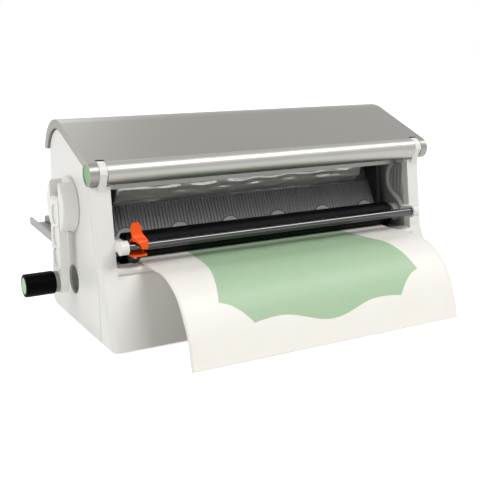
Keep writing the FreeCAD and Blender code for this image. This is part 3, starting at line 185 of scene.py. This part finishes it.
# %% [markdown]
# ## Feed tray
# The tray behind is grey ABS. The outer webs of its channels are painted paler than the rest, a painted
# light for faces that the left lamp catches while the channels lie in shade. Two finishes on two sets
# of faces would show that, but a CAD mesh is left as it is, so a mask of the distance from the middle
# mixes a second tone into one finish.

# %% Feed tray
# Middle grey with a low sheen: the channels show by their shade.
tray_abs = grained("moulded_tray_abs", "#747472", "#82827F", (0.40, 0.50), 1.4, 0.012, IOR=ABS_IOR)
TRAY_WEB_X = 197.4 * MM


def painted_light_web_mask(tree, place):
    """A value of 1 on the tray's two outer webs, where |x| is over TRAY_WEB_X, and 0 elsewhere."""
    parts = add_node(tree, "ShaderNodeSeparateXYZ", {0: place})
    off_middle = add_node(tree, "ShaderNodeMath", {0: parts.outputs[0]}, operation="ABSOLUTE")
    return add_node(tree, "ShaderNodeMath", {0: off_middle.outputs[0], 1: TRAY_WEB_X},
                    operation="GREATER_THAN").outputs[0]


# Painted light: the outer webs are painted paler, as lit faces beside the shaded channels.
second_tone(tray_abs, painted_light_web_mask, "#9E9E9B", "#AAAAA7")
dress(tray_abs, "feed_tray")

# %% [markdown]
# ## Small mouldings
# The caps, the collar, the grip, the cutter's slider and the film cartridge are small ABS mouldings,
# coloured right through. The caps have the housing's sheen, the slider is smoother and the grip almost
# matt, so each has its own roughness, and the two strongest colours reflect less.

# %% Small mouldings
# Grey collar: a quiet ring between the arm and the grip.
collar_abs = grained("moulded_collar_abs", "#7E7F7D", "#8C8D8A", (0.38, 0.48), 1.2, 0.01, IOR=ABS_IOR)
dress(collar_abs, "knob_collar")
# Pale green on the knob, and a deeper green on the hinge caps, both with a soft sheen.
green_abs = grained("moulded_green_abs", "#8FBE88", "#9AC893", (0.38, 0.48), 1.2, 0.01, IOR=ABS_IOR)
dress(green_abs, "knob_cap")
deep_green_abs = grained("moulded_deep_green_abs", "#70A46A", "#7BAE75", (0.38, 0.48), 1.2, 0.01,
                         IOR=ABS_IOR)
dress(deep_green_abs, "hinge_caps")
# Satin orange: full colour with only a weak reflection over it.
orange_abs = grained("satin_orange_abs", "#F65202", "#FC5E08", (0.3, 0.38), 1.2, 0.004,
                     Specular_IOR_Level=0.25)
dress(orange_abs, "cutter_slider")
# Nearly matt black: the grip shows as one dark shape.
grip_abs = grained("moulded_black_abs", "#020202", "#050505", (0.42, 0.55), 0.9, 0.015,
                   Specular_IOR_Level=0.03)
dress(grip_abs, "knob_grip")
# Dark grey: the cartridge's plates fall back into the shade of the mouth.
cartridge_abs = grained("moulded_cartridge_abs", "#2C2D2F", "#37383A", (0.35, 0.5), 1.5, 0.012,
                        IOR=ABS_IOR)
dress(cartridge_abs, "cartridge_left_plate", "cartridge_right_plate", "upper_film_core",
      "lower_film_core")

# %% [markdown]
# ## Film guide
# The ribbed guide under the film roll is grey ABS. It is painted paler towards its foot, a painted light
# where light comes in through the mouth, and darker at its top, a painted shade under the roll, and a
# mask of the height draws that. Its round buttons have a dark rim, the shade in the joint around each
# one. The CAD gives their pitch, radius and slope, so the distance from the middle of the nearest button
# finds the rim.

# %% Film guide
# Smooth grey: the ribs catch thin lights along their edges.
guide_abs = grained("moulded_guide_abs", "#626265", "#727275", (0.3, 0.42), 1.5, 0.012, IOR=ABS_IOR)
PAINTED_LIGHT_TOP, PAINTED_LIGHT_FOOT = 122.0 * MM, 100.0 * MM


def painted_light_foot_mask(tree, place):
    """A value that rises evenly with the depth, from 0 at PAINTED_LIGHT_TOP to 1 at PAINTED_LIGHT_FOOT."""
    height = add_node(tree, "ShaderNodeSeparateXYZ", {0: place})
    return add_node(tree, "ShaderNodeMapRange", {"Value": height.outputs[2], "From Min": PAINTED_LIGHT_TOP,
                                                 "From Max": PAINTED_LIGHT_FOOT}).outputs[0]


# Painted light and shade: paler towards the foot, and darker at the top under the roll.
second_tone(guide_abs, painted_light_foot_mask, "#929293", "#A0A0A1")
dress(guide_abs, "film_guide")

# %% Guide buttons
# Pale grey: the buttons stand out from the ribs behind them.
button_abs = grained("moulded_button_abs", "#C2C2C1", "#CECECD", (0.3, 0.42), 1.5, 0.01, IOR=ABS_IOR)
BUTTON_PITCH, BUTTON_RADIUS, BUTTON_RIM = 62.0 * MM, 13.0 * MM, 1.2 * MM
BUTTON_Y, BUTTON_Z = -9.86 * MM, 90.52 * MM
GUIDE_RUN, GUIDE_RISE = 18.0, 38.0
GUIDE_SLOPE = np.array([GUIDE_RUN, GUIDE_RISE]) / np.hypot(GUIDE_RUN, GUIDE_RISE)


def rim_mask(tree, place):
    """A value of 1 over the rim of each button, and 0 inside it.

    Along X the distance to the nearest button is a zigzag of the pitch, and up the guide it is the
    place's share along the slope. The length of the two is the distance from the button's middle.
    """
    parts = add_node(tree, "ShaderNodeSeparateXYZ", {0: place})
    moved = add_node(tree, "ShaderNodeMath", {0: parts.outputs[0], 1: BUTTON_PITCH / 2},
                     operation="ADD")
    nearest = add_node(tree, "ShaderNodeMath", {0: moved.outputs[0], 1: BUTTON_PITCH / 2},
                       operation="PINGPONG")
    from_middle = add_node(tree, "ShaderNodeVectorMath", {0: place, 1: (0, BUTTON_Y, BUTTON_Z)},
                           operation="SUBTRACT")
    rise = add_node(tree, "ShaderNodeVectorMath", {0: from_middle.outputs[0], 1: (0, *GUIDE_SLOPE)},
                    operation="DOT_PRODUCT")
    flat = add_node(tree, "ShaderNodeCombineXYZ", {0: nearest.outputs[0], 1: rise.outputs["Value"]})
    reach = add_node(tree, "ShaderNodeVectorMath", {0: flat.outputs[0]}, operation="LENGTH")
    return add_node(tree, "ShaderNodeMath", {0: reach.outputs["Value"], 1: BUTTON_RADIUS - BUTTON_RIM},
                    operation="GREATER_THAN").outputs[0]


second_tone(button_abs, rim_mask, "#343436", "#3E3E40")
dress(button_abs, "guide_buttons")

# %% [markdown]
# ## Gears and bushes
# Gears and bushes that run dry are moulded in nylon, which is left undyed where nobody sees it. They
# hide inside the covers, so one plain finish with a coarse grain is enough for all of them.

# %% Gears and bushes
NYLON_IOR = 1.53
# Undyed nylon: a warm, waxy cream.
nylon = grained("moulded_nylon", "#DAD5C6", "#E6E1D3", (0.4, 0.55), 2.0, 0.02, IOR=NYLON_IOR)
dress(nylon, "crank_pinion", "idler_gear", "upper_roller_gear", "lower_roller_gear", "crank_bushes",
      "blade_pin")

# %% [markdown]
# ## Lid
# The lid is satin aluminium, brushed along its length before it was anodised. Brushing draws streaks
# that are very long and under 0.1 mm wide, so they are drawn 0.6 mm wide and 60 times as long. The lid's
# rolled nose is painted in lighter metal, a painted reflection of the light that its curve catches, and
# a mask of the distance from the nose's axis picks that lighter metal.

# %% Lid
BRUSHED = 60
# Brushed satin: broad soft lights that stretch across the streaks.
satin_lid = grained("satin_anodised_aluminium", "#8B8984", "#989691", (0.32, 0.42), 0.6, 0.006,
                    stretch=(BRUSHED, 1, 1), Metallic=0.9)
NOSE_Y, NOSE_Z, NOSE_EDGE, NOSE_HALF = -46.0 * MM, 168.0 * MM, 12.2 * MM, 193.0 * MM


def painted_reflection_nose_mask(tree, place):
    """A value of 1 near the nose's axis and between the two hinge knuckles, and 0 elsewhere."""
    across = add_node(tree, "ShaderNodeVectorMath", {0: place, 1: (0, 1, 1)}, operation="MULTIPLY")
    reach = add_node(tree, "ShaderNodeVectorMath", {0: across.outputs[0], 1: (0, NOSE_Y, NOSE_Z)},
                     operation="DISTANCE")
    inside = add_node(tree, "ShaderNodeMath", {0: reach.outputs["Value"], 1: NOSE_EDGE},
                      operation="LESS_THAN")
    along_x = add_node(tree, "ShaderNodeSeparateXYZ", {0: place})
    off_middle = add_node(tree, "ShaderNodeMath", {0: along_x.outputs[0]}, operation="ABSOLUTE")
    between = add_node(tree, "ShaderNodeMath", {0: off_middle.outputs[0], 1: NOSE_HALF},
                       operation="LESS_THAN")
    return add_node(tree, "ShaderNodeMath", {0: inside.outputs[0], 1: between.outputs[0]},
                    operation="MULTIPLY").outputs[0]


# Painted reflection: the nose is painted in lighter metal than the flat top of the lid.
second_tone(satin_lid, painted_reflection_nose_mask, "#9E9D99", "#ABAAA6")
dress(satin_lid, "lid_shell")

# %% [markdown]
# ## Other metals and rubber
# The header is a darker brushed bar and the hinge plugs are turned, so their streaks run round them. The
# rod is dark polished chrome, the shafts are ground steel, and the rollers are dull black rubber. Each
# takes its streaks' direction from how it was cut, and its sheen from how finely.

# %% Metals
# Darker satin: the header stays behind the bright nose.
dark_satin = grained("satin_grey_aluminium", "#7C7C79", "#888885", (0.34, 0.44), 0.6, 0.006,
                     stretch=(BRUSHED, 1, 1), Metallic=0.9)
dress(dark_satin, "front_header")
# Turned satin: one bright band along the plug.
plug_satin = grained("satin_turned_aluminium", "#A6A5A1", "#B3B2AE", (0.34, 0.44), 0.6, 0.006,
                     stretch=(1, BRUSHED, BRUSHED), Metallic=0.9)
dress(plug_satin, "hinge_plugs")
# Dark mirror: one thin white line on a nearly black rod.
chrome = grained("dark_polished_chrome", "#4C4C4C", "#565656", (0.04, 0.08), 3.0, 0.002,
                 stretch=(20, 1, 1), Metallic=1.0)
dress(chrome, "cutter_rail")
# Ground steel: fine rings round the shafts blur their lights.
steel = grained("ground_steel", "#A9A9A7", "#C2C2BF", (0.22, 0.36), 0.8, 0.006, stretch=(1, 30, 30),
                Metallic=1.0)
dress(steel, "base_screws", "tie_rods", "tie_rod_screws", "idler_stud", "upper_roller_shaft",
      "lower_roller_shaft", "crank_shaft", "arm_pin", "knob_spindle", "hinge_pins", "tray_pins")
# Blued steel: a dark blade with a small cold light.
blued_steel = grained("blued_steel", "#2A2B2E", "#36373B", (0.25, 0.36), 0.8, 0.004, Metallic=1.0)
dress(blued_steel, "cutter_blade")

# %% Rubber
# Ground rubber: deep black with a faint dull light along the roller.
roller_rubber = grained("ground_rubber", "#020203", "#060607", (0.46, 0.62), 1.0, 0.02,
                        stretch=(1, 12, 12), Specular_IOR_Level=0.08)
dress(roller_rubber, "upper_roller_sleeve", "lower_roller_sleeve")
# Moulded rubber: dark grey and dull.
foot_rubber = grained("moulded_rubber", "#1C1C1D", "#262627", (0.6, 0.75), 1.0, 0.02, IOR=1.5)
dress(foot_rubber, "rubber_feet")

# %% [markdown]
# ## Film
# A roll of clear film looks grey and glossy, and its layers are never quite even, so long soft waves
# run along it and break the highlights. A single layer is nearly clear, so the web lets most light by.

# %% Film
FILM_IOR = 1.58
# Many layers: a silvery grey, because each layer sends some light back.
film_wound = grained("wound_clear_film", "#D4D4CF", "#E6E6E0", (0.05, 0.1), 9.0, 0.5,
                     stretch=(7, 1, 1), Metallic=0.4, IOR=FILM_IOR)
dress(film_wound, "upper_film_roll", "lower_film_roll")
# One layer: only its glints show.
film_layer = grained("clear_film_layer", "#D0D2D0", "#E2E3E1", (0.06, 0.14), 12.0, 0.8,
                     stretch=(4, 1, 1), IOR=FILM_IOR, Alpha=0.05)
dress(film_layer, "upper_film_web", "lower_film_web")

# %% [markdown]
# ## Path of the sheet
# The sheet leaves the rollers flat, bends down in two arcs and stands on the floor. Its side view is a
# path: a straight run, an arc of 62 mm radius through 52 degrees, an arc of 95 mm radius to 76 degrees,
# and a short straight end. The surface is that path carried across the film's width.

# %% Path of the sheet
SHEET_HALF = 158.75 * MM
TAIL_Y, BEND_Y, MIDDLE_Z, FLOOR_Z = 10.0 * MM, -100.0 * MM, 77.0 * MM, 0.6 * MM
FIRST_ARC, SECOND_ARC = 62.0 * MM, 95.0 * MM
FIRST_TURN, SECOND_TURN = np.radians([52.0, 76.0])
first = np.linspace(0, FIRST_TURN, 200)
second = np.linspace(FIRST_TURN, SECOND_TURN, 120)[1:]
first_y = BEND_Y - FIRST_ARC * np.sin(first)
first_z = MIDDLE_Z - FIRST_ARC + FIRST_ARC * np.cos(first)
second_y = first_y[-1] - SECOND_ARC * (np.sin(second) - np.sin(FIRST_TURN))
second_z = first_z[-1] + SECOND_ARC * (np.cos(second) - np.cos(FIRST_TURN))
end_y = second_y[-1] - (second_z[-1] - FLOOR_Z) / np.tan(SECOND_TURN)
route = np.column_stack([np.r_[TAIL_Y, first_y, second_y, end_y],
                         np.r_[MIDDLE_Z, first_z, second_z, FLOOR_Z]])
along = np.r_[0, np.cumsum(np.hypot(*np.diff(route, axis=0).T))]
SHEET_LENGTH = along[-1]
print("sheet", round(SHEET_HALF * 2000, 1), "by", round(SHEET_LENGTH * 1000, 1), "mm")

# %% Points of the sheet
HALF_STEP = 0.5 * MM
RIPPLE, RIPPLE_WAVE = 0.5 * MM, 6.5 * MM
RIPPLE_START, RIPPLE_GROWTH, RIPPLE_FADE = 110.0 * MM, 80.0 * MM, 20.0 * MM
MARGIN_SHARE = 0.86


def on_sheet(x, s, lift):
    """Points of the sheet: x across, s along the path, lift along the path's normal on its upper side.

    The normal is the path's direction turned by a quarter turn. A ripple of 0.5 mm runs down the two
    margins, outside the panel, as it does where film has shrunk, and it fades out at both ends.
    """
    y = np.interp(s, along, route[:, 0])
    z = np.interp(s, along, route[:, 1])
    before, after = s - HALF_STEP, s + HALF_STEP
    ahead_y = np.interp(after, along, route[:, 0]) - np.interp(before, along, route[:, 0])
    ahead_z = np.interp(after, along, route[:, 1]) - np.interp(before, along, route[:, 1])
    size = np.hypot(ahead_y, ahead_z)
    normal_y, normal_z = ahead_z / size, -ahead_y / size
    grown = np.clip((s - RIPPLE_START) / RIPPLE_GROWTH, 0, 1)
    free = grown * np.clip((SHEET_LENGTH - s) / RIPPLE_FADE, 0, 1)
    edge = np.clip((np.abs(x / SHEET_HALF) - MARGIN_SHARE) / (1 - MARGIN_SHARE), 0, 1) ** 2
    ripple = RIPPLE * free * edge * np.sin(s / RIPPLE_WAVE) * np.sign(x)
    return np.stack([x, y + normal_y * (lift + ripple), z + normal_z * (lift + ripple)], -1)


# %% [markdown]
# ## From points to a mesh
# Every piece that this lesson adds is a grid of points from a formula. It could be modelled by hand,
# but a formula shows where each size comes from. One function turns any such grid to a smooth mesh.

# %% Mesh from a grid
def surface(name, points, closed=False):
    """A mesh from a grid of points: each grid cell is one face, and a closed grid joins its ends."""
    rows, columns = points.shape[:2]
    number = np.arange(rows * columns).reshape(rows, columns)
    if closed:
        number = np.concatenate([number, number[:, :1]], 1)
    corners = np.stack([number[:-1, :-1], number[1:, :-1], number[1:, 1:], number[:-1, 1:]], -1)
    corners = corners.reshape(-1, 4)
    mesh = bpy.data.meshes.new(name)
    mesh.from_pydata(points.reshape(-1, 3).tolist(), [], corners.tolist())
    mesh.polygons.foreach_set("use_smooth", np.ones(len(corners), bool))
    piece = bpy.data.objects.new(name, mesh)
    bpy.context.scene.collection.objects.link(piece)
    print(name, len(corners), "faces")
    return piece


# %% [markdown]
# ## Upper film roll
# The layers of the roll in the mouth have slipped and creased, so ridges run along it. Bump in the
# finish would bend the highlights but leave a smooth outline, so the creases are real. The roll is a
# cylinder whose radius wanders by up to 1.2 mm, by three sines around the axis that drift along it.

# %% Upper film roll
ROLL_Y, ROLL_Z, ROLL_RADIUS, CORE_RADIUS = 30.0, 148.0, 28.0, 14.3
CREASE_DEPTH, END_ROUND = 1.2, 0.4


def film_roll(name, rows, columns):
    """A creased roll about X with flat ends, in mm until the end.

    Its radius is R - depth + slack + waves + wrinkles. Each of these is a sin(n angle + drift(x)) that
    goes 7, 15 or 24 times around, and the depth is the sum of their heights, so R is the most.
    """
    half = SHEET_HALF / MM
    x = np.linspace(-half + END_ROUND, half - END_ROUND, rows)[:, None]
    angle = np.linspace(0, 2 * np.pi, columns, endpoint=False)[None]
    slack = 0.5 * np.sin(7 * angle + 1.5 * np.sin(x / 61.0))
    waves = 0.5 * np.sin(15 * angle + np.sin(x / 8.5 + 1.5 * np.sin(x / 50.0)) + x / 80.0)
    wrinkles = 0.2 * np.sin(24 * angle + 2.0 * np.sin(x / 38.0))
    radius = ROLL_RADIUS - CREASE_DEPTH + slack + waves + wrinkles
    core = np.full((1, columns), CORE_RADIUS)
    radius = np.vstack([core, radius[:1] - END_ROUND, radius, radius[-1:] - END_ROUND, core])
    x = np.vstack([[[-half]], [[-half]], x, [[half]], [[half]]]) + 0 * angle
    grid = np.stack([x, ROLL_Y + radius * np.cos(angle), ROLL_Z + radius * np.sin(angle)], -1) * MM
    return surface(name, grid[::-1], True)


roll = film_roll("creased_film_roll", 220, 240)
roll.data.materials.append(film_wound)
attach(roll, "upper_film")
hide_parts("upper_film_roll")

# %% [markdown]
# ## Laminated card
# Cream card between two layers of film is stiff, smooth and a little glossy. The grid follows the path,
# and Solidify gives it the thickness of card and film, so its cut edges show as they do on real card.

# %% Laminated card
CARD_WALL = 0.36 * MM
CARD_IOR = 1.5
across, down = np.meshgrid(np.linspace(-SHEET_HALF, SHEET_HALF, 81), np.linspace(0, SHEET_LENGTH, 241))
card = surface("laminated_card", on_sheet(across, down, CARD_WALL / 2))
wall = card.modifiers.new("card_wall", "SOLIDIFY")
wall.thickness = CARD_WALL
wall.offset = -1.0
# Film over cream card: a warm white with a soft sheen.
card_finish = grained("laminated_cream_card", "#FAF6EE", "#FEFBF4", (0.42, 0.52), 14.0, 0.06,
                      IOR=CARD_IOR)
card.data.materials.append(card_finish)
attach(card, "housing")
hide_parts("laminated_sheet")

# %% [markdown]
# ## Green panel in the sheet
# A panel of pale green card lies on the cream card under the film. It is a plain bracket label: its
# sides are hollow parabolas, and its end runs through four points with a hollow between each two and a
# hump in the middle. Each row of the grid is the end curve drawn back towards the rollers by its share.

# %% Outline of the green panel
PANEL_START, POINT_X, SIDE_S, END_S = 2.0, 88.0, 165.0, 187.0
NARROW, WIDE = 97.5, 119.5
POINT_DROP, SIDE_HOLLOW, HUMP, HUMP_HALF = 2.5, 19.0, 6.2, 60.0
corner = POINT_X / WIDE
outer = np.linspace(corner, 1, 25)
share_x = np.r_[-outer[::-1], np.linspace(-corner, corner, 161)[1:-1], outer]
x = np.abs(share_x * WIDE)
between = (x - POINT_X) / (WIDE - POINT_X)
hollow = SIDE_S + (END_S + POINT_DROP - SIDE_S) * (1 - between) - SIDE_HOLLOW * between * (1 - between)
hump = END_S + HUMP * (1 + np.cos(np.pi * np.clip(x / HUMP_HALF, 0, 1)))
scoop = POINT_DROP * np.clip((x - HUMP_HALF) / (POINT_X - HUMP_HALF), 0, 1) ** 2
end_curve = np.where(x > POINT_X, hollow, hump + scoop)
print("panel", 2 * WIDE, "mm wide and", round(end_curve.max() - PANEL_START, 1), "mm long")

# %% Green panel
PANEL_LIFT = 0.08 * MM
share_s = np.linspace(0, 1, 160)[:, None]
panel_x = share_x * (NARROW + (WIDE - NARROW) * share_s ** 2) * MM
panel_s = (PANEL_START + (end_curve - PANEL_START) * share_s) * MM
panel = surface("green_panel", on_sheet(panel_x, panel_s, CARD_WALL / 2 + PANEL_LIFT))
# Film over green card: a pale green with the same soft sheen.
panel_finish = grained("laminated_green_card", "#ABC8A4", "#B3D0AC", (0.42, 0.52), 14.0, 0.06,
                       IOR=CARD_IOR)
panel.data.materials.append(panel_finish)
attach(panel, "housing")

# %% [markdown]
# ## Beads and ribs on the inner cheeks
# Inside the mouth each cheek has a moulded bead that runs down in an S, and upright ribs in front of
# it. The bead is a half-round profile carried along a smooth B-spline through a few control points,
# and it is made for both cheeks, as the two mouldings are mirror images.

# %% Smooth path
def spline(points, count):
    """A uniform cubic B-spline that starts and ends on its end points, as weights on four neighbours."""
    padded = np.concatenate([points[:1]] * 2 + [points] + [points[-1:]] * 2)
    t = np.linspace(0, len(padded) - 3 - 1e-9, count)
    k, u = np.floor(t).astype(int), (t % 1)[:, None]
    weights = [(1 - u) ** 3, 3 * u ** 3 - 6 * u ** 2 + 4, -3 * u ** 3 + 3 * u ** 2 + 3 * u + 1, u ** 3]
    return sum(w * padded[k + n] for n, w in enumerate(weights)) / 6


# %% Cheek beads
CHEEK_X, SUNK = 185.0 * MM, 0.1 * MM
TAPER_POINTS = 3
BEAD_WIDE, BEAD_HIGH = 6.0 * MM, 3.6 * MM
RIB_WIDE, RIB_HIGH = 1.8 * MM, 1.4 * MM
S_POINTS = np.array([(-47, 154.5), (-40, 154.5), (-30, 152), (-19, 146), (-15.5, 137), (-15.5, 128),
                     (-18.5, 118), (-28, 111), (-38, 106.5), (-44, 98)]) * MM
RIBS = [(-41.0, 109.0, 151.0), (-35.0, 111.0, 150.0), (-29.0, 114.0, 148.0), (-23.0, 118.0, 144.0)]


def cheek_bead(name, path, wide, high, side, material):
    """A half-round bead on a cheek: at each point of the path, half an ellipse stands on the wall.

    The ellipse is wide across the path and high off the wall, and both shrink by the square root of
    the distance over the last few points, which rounds the ends.
    """
    ahead = np.gradient(path, axis=0)
    across = np.column_stack([-ahead[:, 1], ahead[:, 0]]) / np.hypot(*ahead.T)[:, None]
    around = np.linspace(0, np.pi, 13)
    from_start = np.arange(len(path))
    from_end = np.minimum(from_start, from_start[::-1])
    taper = np.sqrt(np.clip(from_end / TAPER_POINTS, 0.05, 1))
    yz = path[:, None] + across[:, None] * (wide / 2 * np.cos(around)[None] * taper[:, None])[..., None]
    x = side * (CHEEK_X + SUNK - high * np.sin(around)[None] * taper[:, None])
    grid = np.dstack([x, yz])
    piece = surface(name, grid if side > 0 else grid[::-1])
    piece.data.materials.append(material)
    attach(piece, "housing")


for side, word in ((-1, "left"), (1, "right")):
    cheek_bead(f"{word}_cheek_bead", spline(S_POINTS, 90), BEAD_WIDE, BEAD_HIGH, side, pocket_abs)
    for number, (y, low, high) in enumerate(RIBS):
        line = np.column_stack([np.full(12, y), np.linspace(low, high, 12)]) * MM
        cheek_bead(f"{word}_cheek_rib_{number}", line, RIB_WIDE, RIB_HIGH, side, inner_abs)

# %% [markdown]
# ## Cutter slider
# The orange slider is a thin moulding that flows from a thumb tab over the rod and down its front, with
# a clip round the back of the rod and a thin shoe under it. Each wall is a strip: a B-spline carries
# its side view and its two edges together, and the strip bulges a little across, as such tabs do.

# %% Moulded strip
EDGE_ROUND = 0.45 * MM


def moulded_strip(name, controls, crown, wall, material):
    """A strip of a moulding from controls (y, z, left x, right x) in mm along a smooth path.

    Across the strip u runs from 0 to 1, and the point moves out along the path's normal by
    crown (1 - (2u - 1)^2). Solidify gives it its wall and Bevel rounds the wall's edges.
    """
    rows = spline(np.array(controls, float), 60)
    u = np.linspace(0, 1, 15)[None]
    ahead = np.gradient(rows[:, :2], axis=0)
    normal = np.column_stack([-ahead[:, 1], ahead[:, 0]]) / np.hypot(*ahead.T)[:, None]
    bulge = crown * (1 - (2 * u - 1) ** 2)
    x = rows[:, 2:3] * (1 - u) + rows[:, 3:4] * u
    y = rows[:, 0:1] + normal[:, 0:1] * bulge
    z = rows[:, 1:2] + normal[:, 1:2] * bulge
    piece = surface(name, np.stack([x, y, z], -1) * MM)
    thick = piece.modifiers.new("wall", "SOLIDIFY")
    thick.thickness, thick.offset = wall * MM, 0.0
    rounding = piece.modifiers.new("rounding", "BEVEL")
    rounding.width, rounding.segments, rounding.limit_method = EDGE_ROUND, 3, "ANGLE"
    piece.data.materials.append(material)
    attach(piece, "cutter")
    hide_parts("cutter_slider")


# %% Cutter slider
moulded_strip("slider_tab", [(-65.6, 119.6, -167.2, -165.4), (-65.6, 119.5, -169.0, -163.6),
                             (-65.7, 118.6, -170.6, -162.0), (-65.8, 116.6, -171.5, -161.2),
                             (-66.2, 113.0, -171.6, -161.2), (-67.2, 109.0, -171.4, -160.6),
                             (-69.0, 105.4, -171.6, -158.4), (-73.0, 103.6, -170.0, -157.2),
                             (-74.8, 100.0, -165.6, -157.4), (-74.7, 95.2, -164.2, -158.0)],
              crown=0.5, wall=2.4, material=orange_abs)
moulded_strip("slider_clip", [(-72.0, 103.6, -172.0, -158.2), (-68.0, 104.6, -172.4, -158.2),
                              (-63.4, 103.6, -172.4, -158.2), (-62.6, 98.0, -172.4, -158.2),
                              (-62.6, 92.0, -173.0, -158.0), (-62.6, 88.6, -174.0, -157.8)],
              crown=0.0, wall=1.6, material=orange_abs)
moulded_strip("slider_shoe", [(-62.6, 89.0, -174.4, -157.8), (-70.0, 89.0, -174.6, -157.7),
                              (-73.6, 89.0, -174.0, -158.2), (-74.8, 89.0, -171.0, -160.5)],
              crown=0.0, wall=1.6, material=orange_abs)
moulded_strip("blade_carrier", [(-62.5, 88.4, -172.0, -162.2), (-62.5, 85.4, -171.4, -162.8),
                                (-62.5, 82.6, -169.6, -164.6)],
              crown=0.0, wall=1.4, material=cartridge_abs)

# %% [markdown]
# ## Floor and world
# The machine stands on a plain white sweep. The floor is a large sheet, and the world and the floor
# look white to the camera and in mirrors, while the light that they spread stays at a plain level, so
# whites keep their shade and the floor keeps the machine's shadow.

# %% Rays that see white
def white_rays(tree):
    """A value of 1 for rays from the camera and for mirror and glass rays, and 0 for spread light."""
    rays = add_node(tree, "ShaderNodeLightPath")
    mirror = add_node(tree, "ShaderNodeMath",
                      {0: rays.outputs["Is Glossy Ray"], 1: rays.outputs["Is Transmission Ray"]},
                      operation="MAXIMUM")
    seen = add_node(tree, "ShaderNodeMath", {0: rays.outputs["Is Camera Ray"], 1: mirror.outputs[0]},
                    operation="MAXIMUM")
    return seen.outputs[0]


# %% Floor
SWEEP, FLOOR_GLOW = 6.0, 0.75
WHITE = linear("#FFFFFF")
floor_x, floor_y = np.meshgrid(np.linspace(-SWEEP, SWEEP, 3), np.linspace(-SWEEP, SWEEP, 3))
floor = surface("floor", np.stack([floor_x, floor_y, np.zeros_like(floor_x)], -1))
# Dull near-white: it takes a faint shadow and shows no clear reflection.
floor_finish, tree, shader, _ = start_finish("pale_floor", Roughness=0.9)
shader.inputs["Base Color"].default_value = linear("#F6F6F5")
faint = add_node(tree, "ShaderNodeMath", {0: white_rays(tree), 1: FLOOR_GLOW}, operation="MULTIPLY")
glow = add_node(tree, "ShaderNodeEmission", {"Color": WHITE, "Strength": faint.outputs[0]})
sent = add_node(tree, "ShaderNodeAddShader", {0: shader.outputs[0], 1: glow.outputs[0]})
end = next(node for node in tree.nodes if node.type == "OUTPUT_MATERIAL")
tree.links.new(sent.outputs[0], end.inputs["Surface"])
floor.data.materials.append(floor_finish)

# %% World
SOFT_LIGHT, SEEN_LIGHT = 0.27, 1.0
world = bpy.data.worlds.new("studio")
bpy.context.scene.world = world
world.use_nodes = True
tree = world.node_tree
tree.nodes.clear()
soft = add_node(tree, "ShaderNodeBackground", {"Color": WHITE, "Strength": SOFT_LIGHT})
white = add_node(tree, "ShaderNodeBackground", {"Color": WHITE, "Strength": SEEN_LIGHT})
both = add_node(tree, "ShaderNodeMixShader",
                {0: white_rays(tree), 1: soft.outputs[0], 2: white.outputs[0]})
add_node(tree, "ShaderNodeOutputWorld", {"Surface": both.outputs[0]})
print("world light", SOFT_LIGHT)

# %% [markdown]
# ## Lamps
# A long soft box stands high in front on the right. It draws the bright line on the nose and on the rod,
# and the sheet's shadow falls on the front panel. A box on the left opens the crank's side, one low on
# the right lifts the right cheek, and one behind lights the lid's back.

# %% Lamps
# The two points that the lamps face, in metres.
MACHINE, LID = (0, 0, 0.08), (0, 0, 0.15)


def soft_box(name, place, aim, width, height, watts):
    """An area lamp at a place, facing a point: its -Z axis runs from the place to the aim."""
    lamp = bpy.data.lights.new(name, "AREA")
    lamp.shape = "RECTANGLE"
    lamp.size, lamp.size_y = width, height
    lamp.energy = watts
    holder = bpy.data.objects.new(name, lamp)
    back = np.array(place, float) - np.array(aim, float)
    back /= np.linalg.norm(back)
    side = np.cross([0.0, 0.0, 1.0], back)
    side /= np.linalg.norm(side)
    matrix = np.eye(4)
    matrix[:3] = np.column_stack([side, np.cross(back, side), back, place])
    holder.matrix_world = Matrix(matrix.tolist())
    bpy.context.scene.collection.objects.link(holder)
    print(name, watts, "W")


soft_box("key_box", place=(1.3, -1.75, 2.75), aim=MACHINE, width=3.2, height=0.8, watts=74)
soft_box("left_box", place=(-1.7, -0.2, 0.9), aim=MACHINE, width=1.2, height=1.0, watts=9.6)
soft_box("right_box", place=(1.6, -1.2, 0.7), aim=MACHINE, width=1.0, height=0.9, watts=0.6)
soft_box("back_box", place=(-0.4, 1.5, 1.5), aim=LID, width=2.0, height=1.0, watts=11)
bpy.context.scene.view_settings.view_transform = "Standard"
